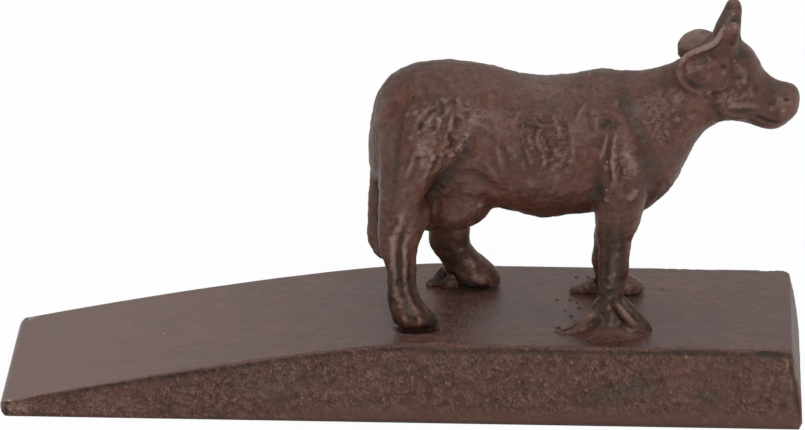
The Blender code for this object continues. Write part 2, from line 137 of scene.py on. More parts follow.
def mergedCopy(nodeName, pieceName):
    piece = bpy.data.objects.new(pieceName, frame["nodes"][nodeName].data.copy())
    bpy.context.scene.collection.objects.link(piece)
    pick(piece)
    bpy.ops.object.mode_set(mode="EDIT")
    bpy.ops.mesh.select_all(action="SELECT")
    bpy.ops.mesh.remove_doubles(threshold=1e-6)
    bpy.ops.object.mode_set(mode="OBJECT")
    piece.data.materials.clear()
    return piece


def applied(piece, kind, **settings):
    modifier = piece.modifiers.new(kind.lower(), kind)
    for name, value in settings.items():
        setattr(modifier, name, value)
    pick(piece)
    bpy.ops.object.modifier_apply(modifier=modifier.name)


def skinOver(piece, voxel):
    applied(piece, "REMESH", mode="VOXEL", voxel_size=voxel, use_smooth_shade=True)


def soften(piece, rounds):
    applied(piece, "SMOOTH", factor=0.5, iterations=rounds)


def ruffle(piece, name, size, depth, level=0.5, group="", octaves=2, hard=False):
    # lumps of about this size, pushed out and in along the normals; a higher level pushes further in
    texture = bpy.data.textures.new(name, "CLOUDS")
    texture.noise_scale, texture.noise_depth = size, octaves
    texture.noise_type = "HARD_NOISE" if hard else "SOFT_NOISE"
    applied(piece, "DISPLACE", texture=texture, strength=depth, mid_level=level, vertex_group=group)


def addTube(name, points):
    # points are x, y, z, radius, in metres
    data = bpy.data.curves.new(name, "CURVE")
    data.dimensions, data.bevel_depth, data.bevel_resolution, data.use_fill_caps = "3D", 1.0, 4, True
    spline = data.splines.new("POLY")
    spline.points.add(len(points) - 1)
    for point, (x, y, z, radius) in zip(spline.points, points):
        point.co, point.radius = (x, y, z, 1), radius
    tube = bpy.data.objects.new(name, data)
    bpy.context.scene.collection.objects.link(tube)
    pick(tube)
    bpy.ops.object.convert(target="MESH")
    return bpy.context.object


def addBall(place, radii, rings=16):
    bpy.ops.object.select_all(action="DESELECT")
    bpy.ops.mesh.primitive_uv_sphere_add(segments=2 * rings, ring_count=rings, radius=1.0)
    ball = bpy.context.object
    for vertex in ball.data.vertices:
        vertex.co = Vector(co * radius for co, radius in zip(vertex.co, radii)) + Vector(place)
    return ball


def joined(things, name):
    pick(things[0])
    for thing in things:
        thing.select_set(True)
    bpy.ops.object.join()
    whole = bpy.context.object
    whole.name = name
    return whole


def shadeSmooth(piece):
    for face in piece.data.polygons:
        face.use_smooth = True


def chooseVertices(piece, chosen):
    # in object mode: selects vertices by a test on their place
    for item in list(piece.data.polygons) + list(piece.data.edges):
        item.select = False
    for vertex in piece.data.vertices:
        vertex.select = chosen(vertex.co)


def vertexRows(piece, kind="co"):
    rows = np.empty(len(piece.data.vertices) * 3)
    piece.data.vertices.foreach_get(kind, rows)
    return rows.reshape(-1, 3)


def placesAndNormals(piece):
    return vertexRows(piece), vertexRows(piece, "normal")


def movePlaces(piece, places):
    piece.data.vertices.foreach_set("co", places.ravel())
    piece.data.update()


def keepAbove(piece, level):
    places = vertexRows(piece)
    places[:, 2] = np.maximum(places[:, 2], level)
    movePlaces(piece, places)


def keepNumbers(piece, **layers):
    # a number for each vertex, for the material to read
    for name, values in layers.items():
        layer = piece.data.attributes.new(name, "FLOAT", "POINT")
        layer.data.foreach_set("value", np.asarray(values, dtype=np.float32))


def groupOf(piece, name, weights):
    group = piece.vertex_groups.new(name=name)
    rounded = np.round(np.clip(weights, 0, 1) * 50).astype(int)
    for level in range(1, 51):
        chosen = np.flatnonzero(rounded == level)
        if len(chosen):
            group.add(chosen.tolist(), level / 50, "REPLACE")


def surfaceTree(piece):
    mesh = piece.data
    return BVHTree.FromPolygons([v.co for v in mesh.vertices], [tuple(p.vertices) for p in mesh.polygons])


def neighbourMean(piece, values, rounds):
    # the mean over each vertex's neighbours, again and again
    edges = np.empty(len(piece.data.edges) * 2, dtype=int)
    piece.data.edges.foreach_get("vertices", edges)
    first, second = edges.reshape(-1, 2).T
    counts = np.maximum(np.bincount(edges, minlength=len(piece.data.vertices)), 1)
    values = np.array(values, dtype=float)
    flat = values.ndim == 1
    values = values.reshape(len(values), -1)
    for _ in range(rounds):
        total = np.zeros_like(values)
        for column in range(values.shape[1]):
            total[:, column] = np.bincount(first, values[second, column], len(values))
            total[:, column] += np.bincount(second, values[first, column], len(values))
        values = 0.5 * values + 0.5 * total / counts[:, None]
    return values[:, 0] if flat else values


def relax(piece, share, rounds=100):
    # towards the smoothed surface, each vertex by its share
    places = vertexRows(piece)
    smooth = neighbourMean(piece, places, rounds)
    movePlaces(piece, places + (smooth - places) * share[:, None])


def hollowness(piece, rounds):
    # how far each vertex lies under its smoothed surroundings, in mm: grooves are above 0, ridges below
    places, normals = placesAndNormals(piece)
    smooth = neighbourMean(piece, places, rounds)
    return ((smooth - places) * normals).sum(axis=1) / mm


def softStep(values, low, high):
    share = np.clip((values - low) / (high - low), 0, 1)
    return share * share * (3 - 2 * share)


# strokes: lines read off the photograph, thrown from its camera onto the casting. A line is x, y, x, y in
# its pixels. Width and lift are in mm, and the other marks are shares for the material: one paints
# highlights, glints and reflections where above 0 and shade and shadows where below 0, along with wear, pits
# and specks;
# olive tints the colour, and rough roughens it.

def shades(width, *lines, **marks):
    return [{"at": line, "width": width, **marks} for line in lines]


def ridges(width, lift, rub, *lines, **more):
    return shades(width, *lines, lift=lift, rub=rub, **more)


def grooves(width, depth, darkening, *lines, **more):
    return shades(width, *lines, lift=-depth, rub=-darkening, **more)


def onBothSides(strokes):
    return [{**stroke, "both": True} for stroke in strokes]


def curveThrough(line, spacing=1.5):
    # Catmull-Rom through the pixels, a point every 1.5 pixels or so
    rows = np.array(line, float).reshape(-1, 2)
    if len(rows) == 1:
        return rows
    padded = np.vstack([2 * rows[0] - rows[1], rows, 2 * rows[-1] - rows[-2]])
    curve = []
    for a, b, c, d in zip(padded, padded[1:], padded[2:], padded[3:]):
        steps = max(int(np.linalg.norm(c - b) / spacing), 2)
        for t in np.arange(steps) / steps:
            curve.append((2 * b + (c - a) * t + (2 * a - 5 * b + 4 * c - d) * t**2
                          + (3 * b - a - 3 * c + d) * t**3) / 2)
    return np.array(curve + [rows[-1]])


def thrown(tree, line):
    hits = []
    for across, down in curveThrough(line):
        place, normal, _, _ = tree.ray_cast(*pixelRay(across, down))
        if place is not None:
            hits.append((place, normal))
    return hits


def mirrored(tree, hits, reach=3.0 * mm):
    # the same line on the side that the photograph doesn't show
    other = []
    for place, _ in hits:
        spot, normal, _, gap = tree.find_nearest(Vector((place.x, -place.y, place.z)))
        if gap < reach:
            other.append((spot, normal))
    return other


def strokeWeights(places, normals, hits, width, taper=0.25):
    line = np.array([tuple(place) for place, _ in hits])
    facing = np.array([tuple(normal) for _, normal in hits])
    reach = 2.6 * width   # further out the weight is next to nothing
    near = np.flatnonzero(np.all((places > line.min(0) - reach) & (places < line.max(0) + reach), axis=1))
    if not len(near):
        return near, np.zeros(0)
    gaps = np.linalg.norm(places[near][:, None, :] - line[None, :, :], axis=2)
    closest = gaps.argmin(axis=1)
    gap = gaps[np.arange(len(near)), closest] / width
    along = closest / max(len(line) - 1, 1)
    fade = np.sqrt(np.clip(np.minimum(along, 1 - along) / taper, 0.04, 1)) if len(line) > 2 else 1.0
    turned = np.clip((normals[near] * facing[closest]).sum(axis=1) * 1.6, 0, 1)
    return near, np.exp(-gap * gap) * fade * turned


def ease(piece, strokes):
    # smooths the skin away where the casting has no edge
    places, normals = placesAndNormals(piece)
    tree = surfaceTree(piece)
    share = np.zeros(len(places))
    for stroke in strokes:
        near, weight = strokeWeights(places, normals, thrown(tree, stroke["at"]), stroke["width"] * mm)
        share[near] = np.maximum(share[near], weight)
    relax(piece, np.minimum(share * 1.3, 1))


def calmBack(piece, low, high, edge=1.5 * mm):
    # smooths what faces away from the photograph's camera within a box
    places, normals = placesAndNormals(piece)
    share = softStep(normals @ -np.array(cameraAxes()[2]), 0.1, 0.4)
    for axis in range(3):
        share *= softStep(places[:, axis], low[axis] - edge, low[axis])
        share *= softStep(-places[:, axis], -high[axis] - edge, -high[axis])
    relax(piece, neighbourMean(piece, share, 3), 60)


def sculpt(piece, strokes):
    # lifts the skin along its normals, and paints the stroke's marks for the material, painted light and
    # shade among them
    places, normals = placesAndNormals(piece)
    tree = surfaceTree(piece)
    marks = {name: np.zeros(len(places)) for name in ("lift", "push", "rub", "olive", "rough")}
    for stroke in strokes:
        hits = thrown(tree, stroke["at"])
        for line in [hits] + ([mirrored(tree, hits)] if stroke.get("both") else []):
            if not line:
                continue
            near, weight = strokeWeights(places, normals, line, stroke["width"] * mm,
                                         stroke.get("taper", 0.25))
            for name in marks:
                if name in stroke:
                    marks[name][near] += weight * stroke[name]
    away = -np.array(cameraAxes()[2])
    lift, push = marks.pop("lift") * mm, marks.pop("push") * mm
    movePlaces(piece, places + normals * lift[:, None] + away * push[:, None])
    return marks


# shader maths

class Wire:
    def __init__(self, socket):
        self.socket = socket

    def node(self, kind, settings=None, inputs=None, output=0):
        tree = self.socket.id_data
        made = tree.nodes.new(kind)
        for name, value in (settings or {}).items():
            setattr(made, name, value)
        for name, value in (inputs or {}).items():
            if isinstance(value, Wire):
                tree.links.new(value.socket, made.inputs[name])
            else:
                made.inputs[name].default_value = value
        return Wire(made.outputs[output])

    def maths(self, operation, first, second=0.0, third=0.0, clamp=False):
        return self.node("ShaderNodeMath", {"operation": operation, "use_clamp": clamp},
                         {0: first, 1: second, 2: third})

    def __add__(self, other):
        return self.maths("ADD", self, other)

    __radd__ = __add__

    def __mul__(self, other):
        return self.maths("MULTIPLY", self, other)

    __rmul__ = __mul__

    def __sub__(self, other):
        return self.maths("SUBTRACT", self, other)

    def __rsub__(self, other):
        return self.maths("SUBTRACT", other, self)

    def clamped(self, factor):
        # this times the factor, kept between 0 and 1
        return self.maths("MULTIPLY", self, factor, clamp=True)

    def wornAndLit(self, colour, dark, light, sunk, raised):
        # this relief over a colour: dark where it is below 0, light where it is above, which paints shade
        # and highlights along with wear
        return self.clamped(-sunk).blend(self.clamped(raised).blend(colour, light), dark)

    def step(self, low, high):
        # 0 below low, 1 above high, soft between them
        return self.node("ShaderNodeMapRange", {"interpolation_type": "SMOOTHSTEP"},
                         {"Value": self, "From Min": low, "From Max": high})

    def between(self, low, high):
        return self.maths("MULTIPLY_ADD", self, high - low, low)

    def blend(self, first, second):
        # this mask runs from the first colour to the second
        return self.node("ShaderNodeMix", {"data_type": "RGBA"}, {0: self, 6: first, 7: second}, 2)

    def cloud(self, size, detail=2.0, rough=0.5, stretch=(1, 1, 1), shift=0.0):
        # self is the place, size is that of one lump, in metres
        spread = self.node("ShaderNodeMapping", {}, {"Vector": self, "Location": (shift, shift, shift),
                                                     "Scale": tuple(1 / (size * s) for s in stretch)})
        return self.node("ShaderNodeTexNoise", {}, {"Vector": spread, "Scale": 1.0, "Detail": detail,
                                                    "Roughness": rough})

    def cells(self, size):
        return self.node("ShaderNodeTexVoronoi", {}, {"Vector": self, "Scale": 1 / size})

    def painted(self, name):
        return self.node("ShaderNodeAttribute", {"attribute_name": name}, {}, "Fac")

    def part(self, axis):
        return self.node("ShaderNodeSeparateXYZ", {}, {0: self}, axis)

    def rays(self, kind):
        # 1 for this kind of ray: Camera, Glossy or Transmission
        return self.node("ShaderNodeLightPath", {}, {}, "Is %s Ray" % kind)


def tone(red, green, blue):
    # a colour as an eyedropper gives it, 0 to 255
    return tuple(((v / 255 + 0.055) / 1.055) ** 2.4 if v > 10 else v / 255 / 12.92
                 for v in (red, green, blue)) + (1.0,)


def newMaterial(name, specular, viewColour):
    material = bpy.data.materials.new(name)
    material.use_nodes = True
    material.diffuse_color = viewColour
    shader = material.node_tree.nodes["Principled BSDF"]
    shader.inputs["Specular IOR Level"].default_value = specular
    shader.inputs["Specular Tint"].default_value = (1.0, 0.86, 0.78, 1.0)
    coordinate = material.node_tree.nodes.new("ShaderNodeTexCoord")
    return material, shader, Wire(coordinate.outputs["Object"])


def plug(shader, look, colour, roughness, height):
    bump = height.node("ShaderNodeBump", {}, {"Height": height, "Strength": look["bump"],
                                              "Distance": look["bumpDepth"]})
    for name, wire in (("Base Color", colour), ("Roughness", roughness), ("Normal", bump)):
        shader.id_data.links.new(wire.socket, shader.inputs[name])


# the cow

cowLook = {
    "brown": tone(70, 41, 31),
    "red": tone(84, 42, 30),
    "olive": tone(70, 54, 44),
    # the colour of painted shade in hollows and under things, and of pits
    "darkening": tone(27, 13, 9),
    # the colour of painted highlights on raised relief, and of wear
    "wornAndLit": tone(121, 98, 90),
    "dustAndGlint": tone(215, 205, 198),
    "specular": 0.55,
    "roughness": (0.34, 0.54),
    "grain": 0.42 * mm,
    "bump": 0.75,
    "bumpDepth": 0.26 * mm,
}

cowSkin = {
    "voxel": 0.34 * mm,
    "relax": 10,
    "lumps": [               # name, size, depth, level, vertex group, octaves, hard
        ("hide", 2.2 * mm, 0.44 * mm, 0.5, "skin"),
        ("hideFine", 0.9 * mm, 0.18 * mm, 0.5, "skin"),
        ("hideWrinkles", 1.4 * mm, 1.0 * mm, 0.3, "wrinkled", 1, True),   # where the strokes say rough
    ],
    "headCalm": 0.6,         # how much of the first two the head is spared
}

flank = onBothSides([
    *shades(3, [529, 84, 568, 84], rub=0.25, olive=0.4),
    *shades(4, [470, 80, 560, 100, 600, 100], olive=0.35),
    *ridges(0.45, 0.22, 0.3, [512, 124, 516, 117, 521, 111], [575, 120, 580, 112, 586, 104],
            [553, 117, 557, 128, 561, 141], [496, 145, 499, 158, 503, 170], [506, 146, 512, 151, 517, 158],
            [537, 137, 543, 155, 543, 170], [551, 172, 560, 163, 567, 151], [555, 149, 559, 160]),
    *ridges(0.45, 0.2, 0.3, [520, 132, 530, 140, 533, 152], [570, 130, 574, 145, 571, 160],
            [485, 160, 490, 168, 498, 178]),
    *grooves(0.4, 0.15, 0.25, [500, 138, 505, 152, 509, 168], [529, 129, 536, 128, 543, 127],
             [548, 140, 550, 155, 548, 168], [563, 118, 567, 132, 566, 146],
             [520, 145, 526, 160, 530, 172]),
    *ridges(1.2, 0.2, 0.35, [526, 179, 535, 186]),
    *ridges(1, 0.15, 0.4, [556, 179]),
    *shades(4.5, [520, 125, 548, 148, 575, 145], rough=0.85),
    # painted shade under the belly
    *shades(2.4, [520, 200, 550, 205, 585, 200], rub=-0.25, olive=-0.5),
    *shades(3, [495, 185, 540, 180, 580, 180], olive=-0.4),
    *shades(1.6, [485, 130, 500, 165, 520, 185], rub=-0.1, olive=0.2),
    *shades(2, [505, 120, 540, 122, 575, 110], rough=0.4),
])

thigh = onBothSides([
    *shades(3.2, [413, 112, 440, 108, 455, 112], rough=0.5),
    *ridges(0.45, 0.22, 0.45, [414, 128, 421, 116, 432, 106], [432, 138, 439, 126, 442, 114]),
    *ridges(0.42, 0.22, 0.45, [423, 133, 428, 122, 436, 112]),
    *ridges(0.45, 0.3, 0.45, [444, 142, 450, 128, 452, 113]),
    *ridges(0.45, 0.25, 0.45, [414, 150, 412, 163, 406, 178], [428, 148, 432, 158, 428, 170, 420, 182]),
    *ridges(0.42, 0.22, 0.4, [440, 150, 441, 160, 436, 172]),
    *grooves(0.35, 0.1, 0.2, [417, 130, 425, 118, 435, 109], [436, 135, 444, 122, 447, 112],
             [435, 150, 436, 161, 431, 173]),
    *grooves(0.4, 0.1, 0.2, [419, 150, 417, 163, 412, 178]),
    # painted highlights on the thigh's lit bands
    *shades(1.6, [420, 138, 424, 155, 421, 168], rough=0.5, olive=0.2, rub=0.55),
    *shades(1.8, [476, 112, 470, 130, 462, 148], rub=0.65, olive=0.3, rough=0.3),
    *shades(2, [412, 112, 428, 118, 442, 112], rub=0.25),
    *shades(1.5, [393, 118, 393, 165, 394, 215], olive=0.9, rub=0.1),
    *shades(0.8, [384, 97, 385, 112], rub=0.5, rough=0.5),
    *ridges(0.5, 0.3, 0.25, [405, 118, 408, 112], [413, 115, 418, 112], [422, 123, 425, 119],
            [429, 120, 430, 128]),
    *ridges(0.6, 0.35, 0.5, [440, 117, 437, 127]),
    *ridges(0.5, 0.3, 0.7, [446, 113]),
    *ridges(0.45, 0.3, 0.25, [444, 106, 448, 98]),
    *ridges(0.5, 0.3, 0.6, [457, 100], [443, 100]),
    *ridges(0.5, 0.35, 0.6, [416, 133, 420, 133]),
    *ridges(0.5, 0.3, 0.4, [409, 141, 412, 136]),
    *ridges(1, 0.35, 0.5, [420, 143, 421, 157]),
    *ridges(0.8, 0.3, 0.4, [425, 161, 421, 170]),
    *ridges(0.6, 0.3, 0.6, [467, 133, 465, 141], [462, 142, 459, 151]),
    *ridges(0.7, 0.3, 0.5, [448, 152, 453, 158]),
    *ridges(0.9, 0.25, 0.5, [477, 114, 475, 126]),
    *grooves(0.5, 0.3, 0.5, [429, 112, 437, 108], [438, 113, 444, 114], [419, 123, 420, 130],
             [433, 125, 434, 133]),
    *grooves(0.4, 0.3, 0.5, [452, 103, 455, 99], [452, 150, 457, 155], [463, 113, 468, 114, 468, 120]),
    *grooves(0.6, 0.4, 0.5, [458, 118, 458, 130], [448, 132, 452, 142, 450, 150]),
    *grooves(0.9, 0.35, 0.3, [408, 100, 401, 120, 397, 150, 394, 185, 390, 218]),
    *ridges(1.5, 0.25, 0.1, [388, 92, 384, 120, 383, 150, 381, 180]),
    *grooves(1.3, 0.55, 0.5,
             [482, 116, 475, 132, 468, 146, 460, 160, 447, 178, 430, 195, 424, 208, 421, 222]),
    *shades(1.9, [455, 172, 440, 186, 428, 202, 424, 222], rub=-0.35),
    *shades(3, [445, 130, 452, 150, 430, 165], rough=0.65),
])

hindLegs = [
    *shades(2.6, [397, 262, 396, 290, 405, 318], rub=-0.6, rough=0.4, olive=0.3),
    *shades(2, [398, 240, 400, 210], rough=0.4),
    *shades(1.4, [398, 316, 418, 320, 434, 322], rub=-0.9),
    *shades(1, [387, 225, 390, 245], rub=-0.2),
    *ridges(0.65, 0.35, 0.75,
            [405, 207, 402, 218, 400, 227, 393, 238, 393, 248, 393, 262, 395, 275, 396, 292, 400, 305,
             405, 322]),
    *ridges(0.55, 0.3, 0.65,
            [409, 228, 407, 236, 404, 245, 404, 253, 405, 264, 405, 280, 407, 292, 412, 303, 418, 315,
             422, 324]),
    *ridges(1, 0.25, 0.5, [391, 236, 396, 242]),
    *ridges(0.7, 0.2, 0.5, [404, 252], [402, 217]),
    *grooves(0.5, 0.35, 0.7, [404, 229, 401, 241, 399, 256, 399, 275, 401, 291, 404, 300]),
    *grooves(0.8, 0.3, 0.7, [411, 248, 410, 275, 412, 292, 420, 306, 427, 317]),
    *grooves(0.8, 0.1, 0.6, [386, 262, 387, 285, 388, 302, 392, 318]),
    *ridges(0.7, 0.15, 0.6, [404, 324, 414, 326, 423, 324]),
    *grooves(0.5, 0.25, 0.6, [413, 320, 417, 320]),
    *shades(1.2, [436, 322], rub=-0.9),
    *shades(0.6, [392, 318, 400, 324, 412, 327, 426, 326, 436, 321], rub=-1.3, taper=0.02),
    *shades(1, [420, 297, 430, 309, 436, 318], rub=-1.5, taper=0.05),
    *shades(0.9, [388, 280, 389, 302, 393, 318], rub=-0.9),
    *ridges(0.6, 0.1, 1, [402, 318, 408, 320]),
    *ridges(0.5, 0.1, 1, [417, 321, 422, 321]),
    # the far one
    *shades(3.4, [440, 235, 445, 252, 462, 275], rub=-0.8),
    *ridges(1.1, 0.15, 0.7, [457, 229, 459, 241], olive=0.4),
    *ridges(0.6, 0.2, 0.8, [461, 250]),
    *ridges(0.6, 0.25, 0.8, [466, 259, 466, 268]),
    *ridges(0.7, 0.25, 0.8, [470, 260, 475, 268]),
    *ridges(0.9, 0.2, 0.8, [470, 275, 479, 280, 486, 285]),
    *shades(0.8, [498, 280], rub=-0.8),
    *shades(0.9, [450, 274, 462, 283, 476, 287, 497, 287], rub=-2.2, taper=0.02),
    *shades(1, [488, 268, 498, 276], rub=-1),
]

udder = onBothSides([
    *grooves(1, 0.4, 0.3, [450, 174, 470, 174, 484, 180, 497, 190]),
    *shades(1.4, [452, 205, 468, 214], rub=-0.3),
    *shades(3, [458, 190, 480, 196], olive=-0.8, rub=0.1),
    # painted highlight on the udder's top
    *ridges(1.4, 0.12, 0.4, [463, 191, 472, 190, 481, 196]),
    *ridges(0.45, 0.15, 1.2, [480, 205]),
])

shoulder = onBothSides([
    *ridges(0.6, 0.45, 0.4, [607, 133, 606, 143, 602, 152, 600, 161],
            [615, 131, 614, 143, 613, 152, 613, 163, 614, 172, 615, 181, 611, 190]),
    *ridges(0.5, 0.3, 0.5, [606, 165, 606, 171], [604, 197, 608, 203]),
    *ridges(1.2, 0.45, 0.75, [625, 145, 628, 155, 631, 163, 633, 176], olive=0.2),
    *shades(0.8, [613, 150, 613, 168], rub=0.5),
    *ridges(0.5, 0.25, 0.4, [621, 155, 622, 163]),
    *ridges(0.7, 0.35, 0.7, [637, 188, 632, 196, 627, 201]),
    *ridges(0.9, 0.2, 0.2, [595, 140, 596, 118, 592, 108], olive=0.3),
    *grooves(0.4, 0.18, 0.25, [612, 131, 610, 143, 609, 155, 609, 168, 609, 182]),
    *grooves(0.42, 0.2, 0.3, [619, 148, 620, 165, 620, 178, 617, 186]),
    *grooves(0.9, 0.25, 0.4, [600, 165, 598, 180, 600, 198]),
    *shades(2.6, [612, 140, 622, 160, 622, 185], rough=0.75),
    *shades(3, [604, 95, 606, 115, 598, 150, 594, 180], rub=-0.2),
    *grooves(0.6, 0.2, 0.3, [604, 124, 604, 128], [616, 119, 616, 125, 613, 129]),
    *grooves(1.5, 0.35, 0.6, [620, 88, 628, 106, 636, 125, 645, 142], olive=0.5),
    *shades(2.2, [640, 130, 645, 160, 640, 190], rub=-0.3, olive=0.4),
    *shades(1.6, [610, 122], rough=0.8, rub=-0.3),
    *ridges(0.5, 0.2, 0.5, [617, 100, 618, 105]),
    *ridges(0.6, 0.1, 0.4, [643, 197, 642, 210], olive=0.4),
    *shades(1.4, [595, 185, 594, 205], rub=-0.4),
])

frontLegs = [
    *shades(3, [612, 222, 612, 250, 610, 285], rub=-0.9, olive=0.4),
    *shades(2.2, [606, 286, 611, 300], rub=-0.8, olive=0.6),
    *grooves(2, 1.4, 0.4, [612, 315, 622, 318, 630, 316]),
    *ridges(0.6, 0.2, 0.45, [613, 250, 613, 275, 611, 292], olive=0.8),
    *grooves(0.6, 0.15, 0.2, [606, 225, 607, 245, 606, 270, 604, 288]),
    *ridges(0.6, 0.15, 0.9, [597, 212, 597, 235, 600, 252], olive=0.3),
    *ridges(0.8, 0.1, 0.7, [641, 204, 638, 222, 632, 238], olive=0.3),
    *ridges(0.6, 0.1, 0.7, [629, 243, 629, 262]),
    *grooves(0.6, 0.15, 0.25, [621, 225, 623, 250, 622, 290]),
    *ridges(0.4, 0.1, 0.8, [618, 252, 618, 259]),
    *ridges(0.35, 0.15, 1.4, [608, 288]),
    *ridges(0.32, 0.1, 1.1, [609, 277]),
    *ridges(0.32, 0.1, 0.9, [615, 274]),
    # the far hoof
    *shades(1.8, [634, 285, 640, 290], rub=-0.2),
    *ridges(0.6, 0.2, 0.9, [638, 280]),
    *grooves(0.7, 0.3, 0.9, [640, 293]),
]

neck = onBothSides([
    *shades(2.6, [645, 110, 658, 128, 668, 140], rub=0.2, rough=0.7),
    *shades(2.2, [676, 124, 684, 112], rub=0.1, rough=0.6),
    *shades(2.4, [655, 92, 668, 100], rub=0.1),
    *ridges(0.8, 0.2, 0.3, [675, 92, 676, 104]),
    *grooves(0.5, 0.12, 0.3, [643, 102]),
    *grooves(0.6, 0.12, 0.3, [672, 139]),
    *ridges(0.5, 0.12, 0.4, [692, 116]),
    *shades(3, [650, 175, 665, 165, 680, 145], rub=-0.2, olive=0.5),
    *shades(2.2, [665, 85, 690, 100, 700, 118], olive=-0.5),
])

# the near ear and its rim, which runs up into the horn; the far ear shows its back
ears = [
    *ridges(0.6, 0.4, 0.8,
            [680, 63, 685, 56, 693, 52, 700, 50, 707, 47, 712, 45, 716, 41, 719, 35, 723, 28, 726, 24]),
    *ridges(0.45, 0.3, 0.6, [722, 40, 726, 33, 730, 27]),
    *grooves(0.35, 0.3, 0.5, [708, 53, 715, 49, 721, 43, 725, 35, 729, 28]),
    *shades(2.2, [690, 68, 700, 73, 706, 80], rub=-0.3, olive=-0.8),
    *shades(1.1, [686, 65, 693, 61, 701, 60, 709, 60], push=0.6, rub=-0.2),
    *grooves(0.8, 0.1, 0.1, [697, 56, 704, 55, 711, 58]),
    *grooves(0.6, 0.3, 0.2, [688, 62, 684, 68, 685, 74]),
    *ridges(0.6, 0.3, 0.2, [679, 66, 678, 74, 684, 83, 694, 89]),
    *ridges(0.7, 0.1, 0.4, [700, 73, 706, 75, 712, 78]),
    *shades(1.2, [682, 62, 690, 58], rub=0.4),
    # the far ear, made pale with painted light
    *shades(2.4, [680, 48, 684, 38, 690, 34, 698, 38], rub=1.1, olive=0.8, taper=0.02),
    *shades(1.5, [704, 34, 700, 40, 696, 45, 688, 52], rub=1.2, olive=0.8, taper=0.02),
    *grooves(0.35, 0.12, 0.4, [689, 41, 694, 43, 699, 41]),
    *shades(1.2, [690, 46, 698, 46], rub=0.5),
    *ridges(0.5, 0.12, 0.4, [686, 67]),
    # painted shadow under the near ear's lower edge
    *grooves(0.7, 0.3, 1, [680, 76, 688, 82, 697, 87, 706, 88]),
    *ridges(0.6, 0.3, 0.7, [708, 91, 709, 98]),
    *ridges(0.6, 0.2, 0.4, [696, 92, 703, 93]),
    *grooves(0.35, 0.3, 0.6, [706, 95, 707, 99]),
    *grooves(0.9, 0.3, 0.4, [713, 90, 714, 104, 717, 112]),
]

head = [
    # cheek, with a painted highlight on it
    *shades(2.2, [718, 92, 726, 98, 730, 90], rub=0.9, rough=0.6),
    *grooves(0.3, 0.2, 0.3, [730, 91, 733, 93, 730, 96, 727, 93, 730, 91], taper=0.02),
    *ridges(0.6, 0.25, 0.6, [727, 105, 737, 106, 747, 105, 757, 107]),
    *grooves(0.5, 0.2, 0.5, [727, 110, 740, 112, 752, 111]),
    *shades(1.6, [744, 95], rub=-0.2, rough=0.35),
    *ridges(0.4, 0.12, 0.4, [740, 98], [746, 96]),
    # brow and eye
    *shades(1.6, [722, 52, 724, 60], rub=0.25),
    *grooves(0.4, 0.25, 0.6, [721, 67, 727, 66], [741, 87, 746, 88, 749, 84]),
    *ridges(0.5, 0.25, 0.5, [721, 72, 727, 73]),
    *shades(1.6, [742, 47, 745, 60], rub=-0.75, olive=0.9),
    *shades(1.8, [748, 68, 756, 80], rub=-0.2, olive=0.6),
    *grooves(0.9, 0.3, 0.7, [730, 46, 735, 40, 736, 34]),
    *shades(1, [737, 71], rub=0.2),
    *shades(2, [738, 62, 745, 75, 742, 88], rough=0.5),
    *grooves(0.45, 0.2, 0.5, [732, 80, 737, 78, 742, 77]),
    *ridges(0.4, 0.12, 0.4, [737, 83]),
    *ridges(0.5, 0.05, 0.3, [742, 81, 745, 85]),
    *grooves(0.6, 0.15, 0.35, [750, 73, 751, 80], [755, 86, 758, 92]),
    *ridges(0.4, 0.1, 0.3, [735, 64, 741, 68, 744, 74]),
    *grooves(0.35, 0.15, 0.35, [733, 87, 739, 91, 746, 92]),
    *ridges(0.35, 0.15, 0.3, [748, 87, 751, 93, 748, 99]),
    *ridges(0.5, 0.2, 0.5, [732, 60, 736, 62]),
    # painted rim light along the brow's edge
    *ridges(0.6, 0.1, 0.9, [741, 36, 748, 46, 757, 59, 762, 70], olive=0.3),
    # horns
    *shades(1.8, [735, 6, 731, 18, 722, 34], rub=-0.25, olive=0.6),
    *shades(1.2, [728, 9, 724, 17, 717, 28], lift=0.45),
    *shades(1.1, [735, 8, 733, 16, 728, 26], lift=0.3),
    *shades(0.9, [739, 8, 740, 16], lift=0.2),
    *grooves(0.4, 0.15, 0.4, [728, 24, 732, 21, 738, 23]),
    *ridges(0.7, 0.15, 0.8, [734, 25, 735, 29]),
    *grooves(0.5, 0.3, 0.8, [732, 47, 733, 44]),
    *ridges(0.4, 0.12, 0.4, [733, 14]),
    *shades(0.8, [738, 30, 739, 38], rub=-0.5),
    # muzzle
    *shades(2.4, [765, 84, 778, 92, 785, 100], rub=-0.25, olive=0.6),
    *shades(1.2, [768, 116, 780, 117], rub=-0.4),
    *grooves(0.38, 0.4, 1, [754, 115, 760, 118, 766, 121, 775, 123, 781, 122]),
    *grooves(0.5, 0.25, 0.5, [767, 103, 777, 104]),
    *ridges(0.4, 0.2, 0.7, [770, 110, 774, 108]),
    # painted highlight on the muzzle
    *ridges(0.4, 0.25, 1.1, [783, 109, 783, 113]),
    *grooves(0.45, 0.45, 1, [787, 97, 788, 101]),
    *grooves(0.4, 0.12, 0.3, [774, 92]),
    # painted highlight along the muzzle's front edge
    *shades(0.8, [797, 92, 796, 112], rub=0.5),
]

cowStrokes = flank + thigh + hindLegs + udder + shoulder + frontLegs + neck + ears + onBothSides(head)

# fine level lines in the skin over the knees
kneeLines = [[604, down, 618, down + 2, 632, down - 1] for down in range(209, 257, 8)]
cowStrokes += onBothSides(grooves(0.32, 0.08, 0.05, *kneeLines))

